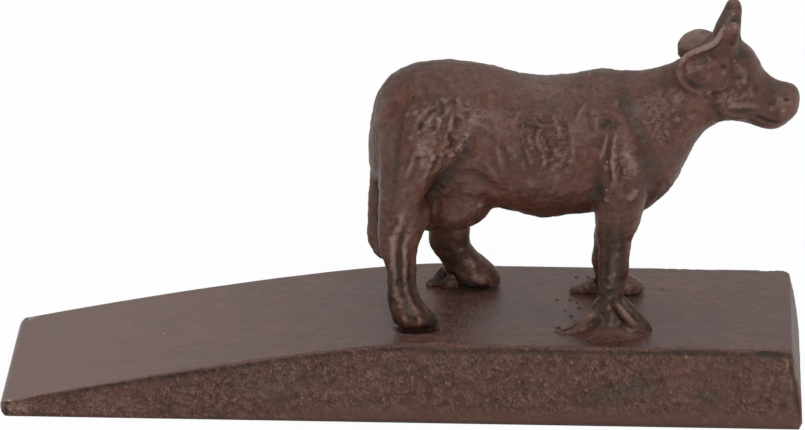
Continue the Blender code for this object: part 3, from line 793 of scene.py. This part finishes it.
# the near ear's upper half and its web up to the horn: pixel, pixel, radius, depth (mm behind the aim point)
earTubes = [
    [(679, 67, 0.35, -19.8), (681, 62, 0.42, -20.0), (685, 57.5, 0.45, -20.2), (691, 54, 0.45, -20.4),
     (697, 51, 0.45, -20.5), (703, 48, 0.45, -20.5), (709, 45, 0.42, -20.3), (714, 41.5, 0.4, -20.2),
     (718, 37, 0.38, -20.2), (722, 31, 0.36, -20.4), (726, 26, 0.36, -20.5)],
    [(687, 61, 0.45, -19.7), (693, 58.5, 0.5, -19.7), (700, 55, 0.5, -19.6), (707, 52, 0.5, -19.6),
     (714, 47, 0.5, -19.6), (720, 41, 0.5, -19.6), (725, 34.5, 0.45, -19.8), (728, 30, 0.3, -20.1)],
    [(684, 60, 0.6, -19.0), (691, 57.5, 0.7, -18.8), (699, 55, 0.8, -18.6), (706, 52.5, 0.9, -18.4),
     (713, 48, 0.9, -18.5), (719, 42, 0.8, -18.7), (725, 36, 0.7, -19.2)],
    [(706, 58, 0.9, -18.2), (713, 54, 1.0, -17.8), (720, 47, 1.0, -17.7), (726, 40, 0.8, -18.2)],
    [(704, 89, 1.0, -17.0), (712, 87, 1.4, -16.6), (719, 83, 1.5, -16.4), (726, 78, 1.4, -16.2),
     (731, 74, 1.0, -16.2)],
]

# the box of the near ear's back: low and high corner
earBack = ((45 * mm, -26 * mm, 60 * mm), (63 * mm, -10.5 * mm, 74 * mm))

# where the ear runs into the cheek
eased = [
    *shades(1.3, [688, 65, 694, 61, 702, 60, 710, 61, 716, 62]),
    *shades(1.2, [687, 68, 695, 67, 703, 67, 710, 68]),
    *shades(1.8, [712, 62, 716, 72, 712, 84, 704, 90]),
    *shades(1.7, [720, 60, 723, 68, 722, 78, 717, 86]),
]


def makeCow():
    skin = cowSkin
    cow = mergedCopy("cow_casting", "cow")
    tubes = []
    for line in earTubes:
        points = [(*atDepth(across, down, depth), radius * mm) for across, down, radius, depth in line]
        tubes.append(addTube("ear", points))
    cow = joined([cow] + tubes, "cow")
    skinOver(cow, skin["voxel"])
    soften(cow, skin["relax"])
    say("the cow's skin has %d faces" % len(cow.data.polygons))
    ease(cow, eased)
    for _ in range(3):
        calmBack(cow, *earBack)
    marks = sculpt(cow, cowStrokes)
    rough = np.clip(marks["rough"], 0, 1)
    along, _, height = vertexRows(cow).T / mm
    head = np.maximum(softStep(along, 55, 62), softStep(along, 46, 50) * softStep(height, 59, 62))
    groupOf(cow, "wrinkled", rough)
    groupOf(cow, "skin", 1 - skin["headCalm"] * head)
    for lumps in skin["lumps"]:
        ruffle(cow, *lumps)
    keepNumbers(cow, hollow=hollowness(cow, 12), rub=marks["rub"], olive=marks["olive"], rough=rough)
    cow.vertex_groups.clear()
    say("cow sculpted")
    return cow


def cowMaterial():
    look = cowLook
    material, shader, place = newMaterial("brownCastIron", look["specular"], look["brown"])
    hollow, rub, olive, rough = (place.painted(name) for name in ("hollow", "rub", "olive", "rough"))
    broad = place.cloud(9 * mm, 3.0, 0.6)
    middle = place.cloud(1.6 * mm, 3.0, 0.6)
    fine = place.cloud(look["grain"], 3.0, 0.65)
    colour = (broad * 0.6 + middle * 0.4).step(0.38, 0.66).blend(look["brown"], look["red"])
    oliveMask = (olive + (place.cloud(5 * mm, 3.0, 0.6, shift=3.0) - 0.5) * 1.6).step(0.0, 0.9)
    colour = (oliveMask * 0.8).blend(colour, look["olive"])
    # painted shade in the hollows and where the strokes are below 0, painted highlights and wear where they
    # are above, over tone that differs at random
    relief = hollow * -3.6 + rub + (broad - 0.5) * 0.8 + (middle - 0.5) * 0.5
    relief += (fine - 0.5) * (rough * 3.4 + 0.8)
    colour = relief.wornAndLit(colour, look["darkening"], look["wornAndLit"], 0.9, 0.65)
    pits = place.cloud(0.9 * mm, 1.0, 0.5, shift=7.0).step(0.66, 0.76)
    colour = (pits * 0.6).blend(colour, look["darkening"])
    specks = place.cells(3.4 * mm).step(0.055, 0.03) * place.cloud(6 * mm, 0.0, shift=11.0).step(0.52, 0.6)
    colour = (specks * 0.5).blend(colour, look["dustAndGlint"])
    # rougher where the relief is painted dark
    darkened = relief.clamped(-0.9) * 0.25
    roughness = (fine * 0.5 + middle * 0.5 + darkened).step(0.3, 0.8).between(*look["roughness"])
    height = fine * (rough * 1.5 + 0.3) + middle * 0.4 - pits * 0.4
    plug(shader, look, colour, roughness, height)
    return material


# the wedge

wedgeShape = {
    "stations": 44,          # slices from the thick end to the tip
    "inset": 0.3 * mm,       # of the first block from the sides, before it is wrapped
    "endInset": 0.5 * mm, "tipInset": 0.02 * mm,
    "endLean": 3 * mm,       # the thick end's height is read this far inwards
    "nose": 1.45 * mm,       # the tip's radius, in slices that turn by noseTurn degrees
    "noseSlices": 6, "noseTurn": 12,
    "noseRoom": 2.2,         # radii from the tip that the even slices keep clear
    "halfway": 1.5 * mm,     # tells a slice's upper corners from its lower ones
    "cutsAcross": 62, "cutsUp": 30, "cutsAlong": 7,   # the last in each slice
    "cornerRadii": (0.8 * mm, 2.4 * mm), "cornerLevels": 16,   # near, far
    "lumps": [               # as for the cow
        ("castLumps", 1.5 * mm, 1.1 * mm, 0.6, "rough", 3),
        ("castPits", 0.75 * mm, 0.72 * mm, 0.45, "rough", 1, True),
        ("rimWander", 4.0 * mm, 0.1 * mm, 0.62, "rim"),
        ("topWaves", 9.0 * mm, 0.12 * mm, 0.5, "top"),
    ],
}

wedgeLook = {
    "top": tone(79, 53, 48),
    "topRed": tone(90, 55, 48),
    "topDark": tone(50, 34, 32),
    # also the painted reflection towards the tip
    "topLight": tone(126, 98, 92),
    "side": tone(76, 47, 37),
    "sideRed": tone(83, 47, 37),
    # painted shade and shadow, and dark pits and hairlines
    "sideDark": tone(36, 21, 16),
    "sideOlive": tone(74, 60, 48),
    # light grain tops, which also stand in for glints
    "sideGrainAndGlint": tone(128, 100, 88),
    # dust specks, and painted reflections and glints on the top
    "dustAndGlint": tone(215, 205, 198),
    "specular": 0.6,
    "topRoughness": (0.30, 0.44),
    "sideRougher": 0.06,
    "bump": 0.7,
    "bumpDepth": 0.2 * mm,
}

# patches and grains on the rough sides
wedgeBothSides = onBothSides([
    *shades(3.4, [225, 372, 262, 385, 320, 375], olive=0.9),
    *grooves(1.2, 0.15, 0.45, [229, 380, 234, 390], olive=0.5),
    *grooves(1.1, 0.15, 0.45, [268, 402, 282, 400]),
    *grooves(1, 0.15, 0.45, [298, 379, 308, 377]),
    *shades(1.3, [352, 400, 378, 404, 400, 408], olive=0.7),
    *shades(2.2, [425, 372, 450, 368, 470, 376], olive=0.6),
    *shades(1.8, [505, 392, 540, 388], olive=0.5, rub=-0.2),
    *grooves(1.9, 0.12, 0.35, [575, 398, 606, 398, 640, 388, 662, 392], olive=1),
    *grooves(1.5, 0.1, 0.3, [636, 376, 650, 383], olive=0.8),
    *grooves(1.5, 0.15, 0.5, [697, 398, 720, 402], olive=0.9),
    *grooves(1.2, 0.2, 0.6, [757, 352, 783, 358], olive=0.8),
    *grooves(0.7, 0.15, 0.45, [660, 350, 690, 352, 720, 351]),
    # painted glints on the light grains at the tip
    *shades(1.2, [7, 406, 18, 407, 28, 408], rub=1.6, taper=0.02),
    *shades(1.6, [45, 407, 100, 408, 150, 406], rub=0.35),
])

# what the near side and the top have alone
wedgeOneSide = [
    # painted reflection down the thick end's rounded corner
    *shades(0.7, [790, 356, 795, 372, 797, 395], rub=0.8, olive=0.4),
    # painted shade: the dark line under the top edge
    *grooves(0.4, 0.1, 0.8,
             [60, 396, 90, 389, 200, 372.5, 300, 358.5, 390, 349.5, 450, 351, 600, 353, 788, 355],
              taper=0.02),
    # a dark line down the thick end's corner, with painted glints beside it
    *grooves(0.4, 0.2, 1.5,
             [784, 354, 789, 356, 791, 364, 792, 374, 795, 384, 796, 396, 799, 410, 800, 424]),
    *shades(0.3, [786, 360, 789, 372], rub=1.4),
    *shades(0.25, [790, 378, 793, 391], rub=1.2),
    # and painted shadow along the floor
    *shades(0.25, [20, 414, 200, 418, 400, 421, 600, 424, 797, 427], rub=-1, taper=0.02),
    # pits and glints near the thick end
    *shades(0.5, [687, 377, 690, 378], [748, 371, 753, 372], [769, 402, 773, 403], rub=-0.9),
    *shades(0.6, [676, 404, 680, 406], [658, 379, 662, 382], rub=-0.9),
    *shades(0.6, [782, 405, 783, 409], rub=-1.1),
    *shades(0.5, [640, 370, 643, 372], rub=-0.7),
    *shades(0.6, [728, 362, 738, 360], rub=-0.6),
    *shades(1, [742, 384], rub=-0.5),
    *shades(0.25, [704, 420, 707, 420], [715, 421, 718, 422], rub=1.8),
    *shades(0.25, [730, 424], [686, 357], [705, 360, 708, 361], rub=1.6),
    # hairlines and specks on the top
    *shades(0.22, [650, 287, 658, 290, 668, 290, 677, 292], rub=-1.1),
    *shades(0.22, [737, 286, 741, 292, 748, 291], rub=-0.9),
    *shades(0.3, [441, 305, 450, 303], rub=-0.8),
    *shades(0.4, [541, 286], rub=-1),
    *shades(0.4, [536, 330, 542, 329], rub=0.25),
    *shades(0.14, [772, 317], rub=1),
    *shades(0.18, [620, 337], rub=1.4),
    # painted reflection along the thick end's top corner
    *shades(0.5, [797, 275, 800, 300, 800, 345], rub=0.6),
    # painted shadow round the hooves, painted black in the gap under them
    *shades(2.2, [440, 288, 470, 295, 500, 292], rub=-0.3),
    *shades(1.2, [560, 338, 600, 342, 640, 338], rub=-0.25),
    *grooves(0.9, 0.8, 2.4, [396, 329, 412, 331, 437, 329]),
    *shades(0.6, [455, 288, 475, 290, 499, 286], rub=-1),
]


def roundCorners(piece, nearRadius, farRadius):
    # the two upright corners at the thick end; its faces lean, so their places are read level by level
    places = vertexRows(piece)
    radius = np.where(places[:, 1] < 0, nearRadius, farRadius)
    levels = np.linspace(0, places[:, 2].max(), wedgeShape["cornerLevels"])
    half = 0.6 * (levels[1] - levels[0])   # so that each overlaps the next
    near = [np.abs(places[:, 2] - level) < half for level in levels]
    ends = np.interp(places[:, 2], levels, [places[chosen, 0].max() for chosen in near]) - radius
    sides = np.interp(places[:, 2], levels, [np.abs(places[chosen, 1]).max() for chosen in near]) - radius
    outX, outY = places[:, 0] - ends, np.abs(places[:, 1]) - sides
    far = np.hypot(outX, outY)
    corner = (outX > 0) & (outY > 0) & (far > radius)
    pull = radius[corner] / far[corner]
    places[corner, 0] = ends[corner] + outX[corner] * pull
    places[corner, 1] = np.sign(places[corner, 1]) * (sides[corner] + outY[corner] * pull)
    movePlaces(piece, places)


def wedgeLevel(tree, x, start=50 * mm):
    # how high the wedge's top lies at x, or its underside where the start is below it
    place, _, _, _ = tree.ray_cast(Vector((x, 0.0, start)), Vector((0, 0, -1 if start > 0 else 1)))
    return place.z if place is not None else 0.0


def cutEdges(piece, axis, cuts):
    # cuts the edges that run along one axis
    pick(piece)
    mesh = piece.data
    for item in list(mesh.vertices) + list(mesh.polygons):
        item.select = False
    bpy.ops.object.mode_set(mode="EDIT")
    bpy.ops.mesh.select_mode(type="EDGE")
    bpy.ops.mesh.select_all(action="DESELECT")
    skin = bmesh.from_edit_mesh(mesh)
    for edge in skin.edges:
        run = edge.verts[0].co - edge.verts[1].co
        edge.select_set(max(range(3), key=lambda i: abs(run[i])) == axis)
    bmesh.update_edit_mesh(mesh)
    bpy.ops.mesh.subdivide(number_cuts=cuts, smoothness=0)
    bpy.ops.object.mode_set(mode="OBJECT")


def drawnWedge(tree):
    # the thick end as a block, then slices drawn out to the tip
    shape = wedgeShape
    low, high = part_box("wedge_base")
    right = high.x - shape["endInset"]
    step = (right - low.x) / shape["stations"]
    first = right - step
    sides = (low.y + shape["inset"], high.y - shape["inset"])
    bpy.ops.object.select_all(action="DESELECT")
    bpy.ops.mesh.primitive_cube_add(size=1.0)
    wedge = bpy.context.object
    wedge.name = "wedge"
    for vertex in wedge.data.vertices:
        vertex.co.x = (first, right)[vertex.co.x > 0]
        vertex.co.y = sides[vertex.co.y > 0]
        lean = shape["endLean"] * (vertex.co.x > first)
        vertex.co.z = wedgeLevel(tree, vertex.co.x - lean) if vertex.co.z > 0 else 0.0
    nose = shape["nose"]
    stations = [right - step * index for index in range(2, shape["stations"])]
    stations = [x for x in stations if x > low.x + shape["noseRoom"] * nose]
    for index in range(shape["noseSlices"]):
        turn = math.radians(90 - shape["noseTurn"] * index)
        stations.append(low.x + nose * (1 - math.cos(turn)) + shape["tipInset"])
    for x in stations:
        edgeX = min(v.co.x for v in wedge.data.vertices)
        pick(wedge)
        chooseVertices(wedge, lambda co: co.x < edgeX + 1e-7)
        bpy.ops.object.mode_set(mode="EDIT")
        bpy.ops.mesh.select_mode(type="VERT")
        bpy.ops.mesh.extrude_region_move(TRANSFORM_OT_translate={"value": (x - edgeX, 0, 0)})
        bpy.ops.object.mode_set(mode="OBJECT")
        top, bottom = wedgeLevel(tree, x), wedgeLevel(tree, x, -10 * mm)
        for vertex in wedge.data.vertices:
            if abs(vertex.co.x - x) < 1e-6:
                vertex.co.z = top if vertex.co.z > shape["halfway"] else bottom
    pick(wedge)
    bpy.ops.object.mode_set(mode="EDIT")
    bpy.ops.mesh.select_all(action="SELECT")
    bpy.ops.mesh.normals_make_consistent(inside=False)
    bpy.ops.object.mode_set(mode="OBJECT")
    for axis, cuts in ((1, "cutsAcross"), (2, "cutsUp"), (0, "cutsAlong")):
        cutEdges(wedge, axis, shape[cuts])
    return wedge


def makeWedge():
    shape = wedgeShape
    guide = mergedCopy("wedge_base", "wedgeGuide")
    wedge = drawnWedge(surfaceTree(guide))
    applied(wedge, "SHRINKWRAP", target=guide, wrap_method="NEAREST_SURFACEPOINT")
    bpy.data.objects.remove(guide, do_unlink=True)
    roundCorners(wedge, *shape["cornerRadii"])
    wedge.data.materials.clear()
    shadeSmooth(wedge)
    say("the wedge has %d faces" % len(wedge.data.polygons))

    places, normals = placesAndNormals(wedge)
    along, _, height = places.T / mm
    side = softStep(np.maximum(np.abs(normals[:, 1]), normals[:, 0]), 0.6, 0.9)   # and the thick end
    inner = softStep(neighbourMean(wedge, side, 12), 0.55, 0.98)   # 0 at the edges
    side = neighbourMean(wedge, side, 1)
    rim = np.clip(1 - np.abs(normals[:, 2] - 0.55) / 0.42, 0, 1) * (normals[:, 2] > 0.05)
    footBand = softStep(height, 3.4, 1.6) * softStep(along, -35, 0)   # smoother, low on the thick half
    nearSide = softStep(-normals[:, 1], 0.5, 0.9)
    end = softStep(normals[:, 0], 0.5, 0.9)
    rough = side * (1 - 0.75 * footBand) * np.maximum(inner, 0.45 * nearSide) * (1 - 0.85 * end)
    groupOf(wedge, "rough", rough * (1 - 0.25 * softStep(along, 35, 60)))
    groupOf(wedge, "rim", neighbourMean(wedge, rim, 2))
    groupOf(wedge, "top", softStep(normals[:, 2], 0.5, 0.9))
    for lumps in shape["lumps"]:
        ruffle(wedge, *lumps)
    wedge.vertex_groups.clear()
    marks = sculpt(wedge, wedgeBothSides + wedgeOneSide)
    keepAbove(wedge, 0)
    along = vertexRows(wedge)[:, 0] / mm
    keepNumbers(wedge, rub=marks["rub"], olive=marks["olive"], side=side, foot=footBand * side,
                calm=0.2 * softStep(along, 35, 62), hollow=hollowness(wedge, 8))
    say("wedge done")
    return wedge


def wedgeMaterial():
    look = wedgeLook
    material, shader, place = newMaterial("wedgeCastIron", look["specular"], look["top"])
    side, foot, hollow = (place.painted(name) for name in ("side", "foot", "hollow"))
    rub, olive = place.painted("rub"), place.painted("olive")
    calm = 1 - place.painted("calm")
    broad = place.cloud(14 * mm, 3.0, 0.6)
    streak = place.cloud(1.5 * mm, 4.0, 0.7, stretch=(2.6, 1.4, 1))
    fine = place.cloud(0.5 * mm, 3.0, 0.65, stretch=(1, 2.4, 1))
    grit = place.cloud(1.0 * mm, 4.0, 0.7, stretch=(0.8, 0.8, 1.3), shift=5.0)
    # smooth top
    top = (broad * 0.5 + streak * 0.5).step(0.42, 0.68).blend(look["top"], look["topRed"])
    pits = place.cells(1.7 * mm).step(0.2, 0.1) * place.cloud(2.4 * mm, 2.0, shift=9.0).step(0.5, 0.62)
    # painted shadow round the hooves and black in the gap under them, and dark hairlines and pits, where the
    # strokes are below 0
    top = rub.clamped(-0.9).blend(top, look["sideDark"])
    relief = (fine - 0.5) * 2.4 + (streak - 0.5) * 1.1 + (broad - 0.5) * 0.9 - pits * 0.7
    top = relief.wornAndLit(top, look["topDark"], look["topLight"], 1.1, 0.8)
    # painted reflection of the white backdrop: the top lighter towards the tip
    paintedTipSheen = place.part("X").step(5 * mm, -65 * mm)
    top = (paintedTipSheen * 0.4).blend(top, look["topLight"])
    # painted reflections and glints on the top, and dust specks, where the strokes are above 0
    top = rub.clamped(0.6).blend(top, look["dustAndGlint"])
    # rough sides
    grains = place.cloud(0.36 * mm, 2.0, 0.6, stretch=(0.9, 0.9, 1.5), shift=13.0)
    bareness = place.cloud(3.5 * mm, 3.0, 0.6, shift=19.0).step(0.35, 0.65).between(0.3, 1.0)
    flank = place.cloud(6 * mm, 3.0, 0.6, shift=23.0).step(0.35, 0.65).blend(look["side"], look["sideRed"])
    oliveMask = (olive + (place.cloud(4 * mm, 4.0, 0.65, shift=2.0) - 0.5) * 1.8).step(0.1, 0.9)
    flank = (oliveMask * 0.7).blend(flank, look["sideOlive"])
    patches = place.cloud(3.0 * mm, 4.0, 0.65, stretch=(1.4, 1, 0.8), shift=31.0)
    bareGrains = (grains - 0.5) * 5.2 * (1 - foot) * bareness * calm
    # painted shade in the hollows, and the strokes' painted light, shadow and marks, over random patches and
    # grit; the grains' light tops paint glints as well as grain
    relief = hollow * -2.0 + rub + (patches - 0.5) * 1.4 + (grit - 0.5) * 1.3 + bareGrains
    flank = relief.wornAndLit(flank, look["sideDark"], look["sideGrainAndGlint"], 0.85, 0.6)
    flank = (foot * 0.5).blend(flank, look["side"])
    colour = side.blend(top, flank)
    specks = place.cells(9 * mm).step(0.03, 0.018)
    colour = (specks * 0.6).blend(colour, look["dustAndGlint"])
    topRough = (fine * 0.6 + broad * 0.4).step(0.3, 0.7).between(*look["topRoughness"])
    height = fine * 0.6 + streak * 0.5 - pits * 0.6 + side * (grit * 2.5 + grains * 2.0 * bareness) * calm
    plug(shader, look, colour, topRough + side * look["sideRougher"], height)
    return material


# the welds

weldShape = {
    "voxel": 0.18 * mm, "relax": 8,
    "grow": 0.3 * mm,        # closes the gap that the CAD keeps
    "sink": 0.25 * mm,       # how far the metal goes into the wedge, out of sight
    "lumps": [("Lumps", 1.4 * mm, 0.36 * mm), ("Grains", 0.5 * mm, 0.12 * mm)],   # name, size, depth
}

weldLook = {
    "metal": tone(58, 37, 28),
    "base": tone(76, 45, 36),
    "dark": tone(28, 15, 11),
    # the colour of painted highlights on the weld's ridges, and of wear
    "wornAndLit": tone(118, 90, 80),
    "specular": 0.42,
    "roughness": (0.32, 0.55),
    "bump": 0.5,
    "bumpDepth": 0.08 * mm,
}

# the near front foot, in mm; a ridge's points are pixel, pixel, radius, depth across the wedge
frontFoot = {
    "middle": (37.3, -9.9),
    "cone": [(-0.7, 8.8), (0.1, 7.6), (0.5, 6.2), (1.1, 5.0), (2.0, 4.1), (3.2, 3.3), (4.6, 2.7),
             (6.0, 2.2), (7.2, 1.4)],   # height above the wedge's top, radius
    "flatter": 0.8,          # its depth as a share of its width
    "relax": 40,
    "lump": ((41.0, -10.6, 0.4), (3.6, 3.6, 2.6)),   # place with its height, radii
    "ridges": [
        [(604, 296, 2.0, -10.0), (596, 306, 1.8, -10.4), (586, 317, 1.4, -11.0), (573, 326, 1.0, -11.8),
         (564, 329, 0.75, -12.3), (557, 331, 0.5, -12.8)],
        [(613, 297, 0.4, -11.4), (617, 302, 0.9, -11.9), (623, 309, 1.0, -12.5), (630, 318, 0.9, -12.9),
         (638, 328, 0.6, -13.2)],
        [(622, 294, 0.6, -9.6), (628, 302, 1.5, -10.0), (638, 314, 1.6, -10.5), (646, 322, 1.2, -10.8),
         (650, 328, 0.8, -11.2)],
    ],
    # beads, as pixel, pixel, radius
    "spatter": [(576, 277, 0.36), (588, 277, 0.36), (573, 287, 0.34), (557, 300, 0.42), (570, 300, 0.36),
                (577, 303, 0.3), (579, 308, 0.36), (571, 316, 0.38), (565, 311, 0.28), (558, 328, 0.5),
                (562, 333, 0.45), (555, 332, 0.3), (566, 335, 0.3), (662, 289, 0.3)],
}

weldStrokes = [
    # left spur: a painted highlight above, black at its tip
    *ridges(0.9, 0.1, 1.2, [595, 312, 586, 317, 576, 323]),
    *shades(0.8, [569, 328, 562, 329, 556, 330], rub=-1),
    *grooves(0.9, 0.2, 0.6, [590, 326, 600, 320, 604, 308]),
    # right ridge with a painted highlight, and the dark toe
    *ridges(0.5, 0.15, 1.2, [616, 300, 621, 307, 628, 316, 637, 325]),
    *grooves(0.6, 0.15, 0.5, [613, 306, 618, 316, 627, 325]),
    *grooves(0.5, 0.15, 0.6, [625, 304, 632, 313, 640, 321]),
    *shades(0.8, [648, 326], rub=-1),
    *shades(1, [604, 292, 611, 300, 617, 294], rub=-0.6),
    *ridges(0.5, 0.15, 0.7, [607, 305, 610, 311]),
    *shades(1.4, [600, 332, 620, 335, 636, 332], rub=0.1),
    # the far heels
    *ridges(0.6, 0.15, 0.9, [573, 289, 583, 285, 594, 282]),
    *grooves(0.5, 0.1, 0.8, [577, 294, 590, 297, 600, 297]),
    *grooves(1.5, 0.6, 0.5, [434, 268, 440, 272, 446, 276]),
    *shades(1, [430, 280, 442, 282, 456, 284], rub=-0.8),
    *grooves(2.2, 0.3, 0.7, [434, 272, 444, 270, 453, 276]),
    *ridges(0.6, 0.3, 0.5, [436, 277], [452, 276]),
    *ridges(0.6, 0.4, 0.9, [444, 268]),
    *grooves(0.6, 0.5, 0.8, [441, 275, 446, 270, 449, 265]),
    *grooves(0.8, 0.6, 0.4, [431, 274]),
]


def roughened(weld, pieceName):
    for name, size, depth in weldShape["lumps"]:
        ruffle(weld, pieceName + name, size, depth)
    keepAbove(weld, wedgeTopLevel - weldShape["sink"])
    rise = (vertexRows(weld)[:, 2] - wedgeTopLevel) / mm
    marks = sculpt(weld, weldStrokes)
    keepNumbers(weld, rub=marks["rub"], hollow=hollowness(weld, 10), rise=rise)


def keepMainSkin(piece):
    # the remesh leaves specks inside: only what hangs together with the topmost vertex stays
    highest = max(vertex.co.z for vertex in piece.data.vertices)
    pick(piece)
    chooseVertices(piece, lambda co: co.z > highest - 1e-7)
    bpy.ops.object.mode_set(mode="EDIT")
    bpy.ops.mesh.select_mode(type="VERT")
    bpy.ops.mesh.select_linked()
    bpy.ops.mesh.select_all(action="INVERT")
    bpy.ops.mesh.delete(type="VERT")
    bpy.ops.object.mode_set(mode="OBJECT")


def makeWeld(nodeName, pieceName):
    weld = mergedCopy(nodeName, pieceName)
    skinOver(weld, weldShape["voxel"])
    soften(weld, weldShape["relax"])
    applied(weld, "DISPLACE", strength=weldShape["grow"], mid_level=0.0)
    roughened(weld, pieceName)
    return weld


def makeFrontFoot(pieceName):
    # built from the photograph, where the CAD has plainer metal
    foot = frontFoot
    parts = []
    for line in foot["ridges"]:
        points = []
        for across, down, radius, depth in line:
            spot = onPlane(across, down, 1, depth * mm)
            points.append((spot.x, spot.y, spot.z - radius * mm, radius * mm))
        parts.append(addTube("ridge", points))
    middleX, middleY = foot["middle"]
    cone = addTube("cone", [(middleX * mm, middleY * mm, wedgeTopLevel + rise * mm, radius * mm)
                            for rise, radius in foot["cone"]])
    for vertex in cone.data.vertices:
        vertex.co.y = middleY * mm + (vertex.co.y - middleY * mm) * foot["flatter"]
    (x, y, rise), radii = foot["lump"]
    lump = addBall((x * mm, y * mm, wedgeTopLevel + rise * mm), [radius * mm for radius in radii])
    weld = joined(parts + [cone, lump], pieceName)
    skinOver(weld, weldShape["voxel"])
    keepMainSkin(weld)
    soften(weld, foot["relax"])
    beads = []
    for across, down, radius in foot["spatter"]:
        spot = onPlane(across, down, 2, wedgeTopLevel)
        beads.append(addBall(spot, (radius * mm, radius * mm, 0.6 * radius * mm), 8))
    weld = joined([weld] + beads, pieceName)
    shadeSmooth(weld)
    roughened(weld, pieceName)
    weld.data.materials.clear()
    return weld


def weldMaterial():
    look = weldLook
    material, shader, place = newMaterial("weldIron", look["specular"], look["metal"])
    hollow, rub, rise = (place.painted(name) for name in ("hollow", "rub", "rise"))
    middle, fine = place.cloud(1.2 * mm, 3.0, 0.6), place.cloud(0.4 * mm, 3.0, 0.6)
    colour = (rise + (middle - 0.5) * 2.0).step(0.4, 2.2).blend(look["base"], look["metal"])
    # painted shade in the hollows, and the strokes' painted highlights and dark marks, over random tone
    relief = hollow * -3.0 + rub + (middle - 0.5) * 0.5 + (fine - 0.5) * 0.7
    colour = relief.wornAndLit(colour, look["dark"], look["wornAndLit"], 0.9, 0.65)
    plug(shader, look, colour, middle.between(*look["roughness"]), fine * 0.6 + middle * 0.4)
    return material


# stage and light

studio = {
    "floorSize": 6.0,
    "floorColour": (0.86, 0.86, 0.86, 1),
    "ownLight": 0.95,        # how much of the floor's white is its own, so that the shadow stays faint
    "glossLight": 0.1,       # and what gloss sees of it
    "front": 0.06, "around": 0.62,   # what gloss sees of the room
    "sky": 0.55,             # what lights the object
}

lamps = {
    "key": {"at": (0.16, -0.92, 0.62), "size": 0.6, "power": 5.5},
    "top": {"at": (0.05, 0.15, 0.95), "size": 0.7, "power": 1.5},
}


def addStage():
    bpy.ops.object.select_all(action="DESELECT")
    bpy.ops.mesh.primitive_plane_add(size=studio["floorSize"], location=(0, 0, -0.02 * mm))
    floor = bpy.context.object
    floor.name = "floor"
    material, shader, place = newMaterial("paleFloor", 0.2, studio["floorColour"])
    shader.inputs["Base Color"].default_value = studio["floorColour"]
    shader.inputs["Roughness"].default_value = 0.9
    white = place.node("ShaderNodeEmission", {}, {"Color": (1, 1, 1, 1), "Strength": 1.0})
    straight = place.rays("Camera") + place.rays("Transmission")
    share = straight * studio["ownLight"] + place.rays("Glossy") * studio["glossLight"]
    mixed = place.node("ShaderNodeMixShader", {}, {0: share, 1: Wire(shader.outputs[0]), 2: white})
    tree = material.node_tree
    output = next(node for node in tree.nodes if node.type == "OUTPUT_MATERIAL")
    tree.links.new(mixed.socket, output.inputs["Surface"])
    floor.data.materials.append(material)


def addWorld():
    world = bpy.data.worlds.new("studio")
    bpy.context.scene.world = world
    world.use_nodes = True
    background = world.node_tree.nodes["Background"]
    background.inputs["Color"].default_value = (1, 1, 1, 1)
    direction = Wire(world.node_tree.nodes.new("ShaderNodeTexCoord").outputs["Generated"])
    shine = direction.part("Y").step(-0.95, -0.15).between(studio["front"], studio["around"])
    glossy = direction.rays("Glossy")
    white = direction.rays("Camera") + direction.rays("Transmission")
    strength = white + glossy * shine + (1 - white) * (1 - glossy) * studio["sky"]
    world.node_tree.links.new(strength.socket, background.inputs["Strength"])


def addLamps():
    for name, lamp in lamps.items():
        data = bpy.data.lights.new(name, "AREA")
        data.energy, data.size = lamp["power"], lamp["size"]
        thing = bpy.data.objects.new(name, data)
        bpy.context.scene.collection.objects.link(thing)
        thing.location = lamp["at"]
        aim = Vector((0, 0, 0.03)) - Vector(lamp["at"])
        thing.rotation_euler = aim.to_track_quat("-Z", "Y").to_euler()


# everything together

addCamera()
addWorld()
addLamps()
addStage()
say("stage ready")

body = "doorstop"

wedge = makeWedge()
wedge.data.materials.append(wedgeMaterial())
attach(wedge, body)
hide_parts("wedge_base")

cow = makeCow()
cow.data.materials.append(cowMaterial())
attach(cow, body)
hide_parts("cow_casting")

weldIron = weldMaterial()
for nodeName, pieceName in (("weld_front_near", "weldFrontNear"), ("weld_front_far", "weldFrontFar"),
                            ("weld_hind_far", "weldHindFar")):
    front = pieceName == "weldFrontNear"
    weld = makeFrontFoot(pieceName) if front else makeWeld(nodeName, pieceName)
    weld.data.materials.append(weldIron)
    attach(weld, body)
    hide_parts(nodeName)
say("welds done")

bpy.context.scene.view_settings.view_transform = "Standard"
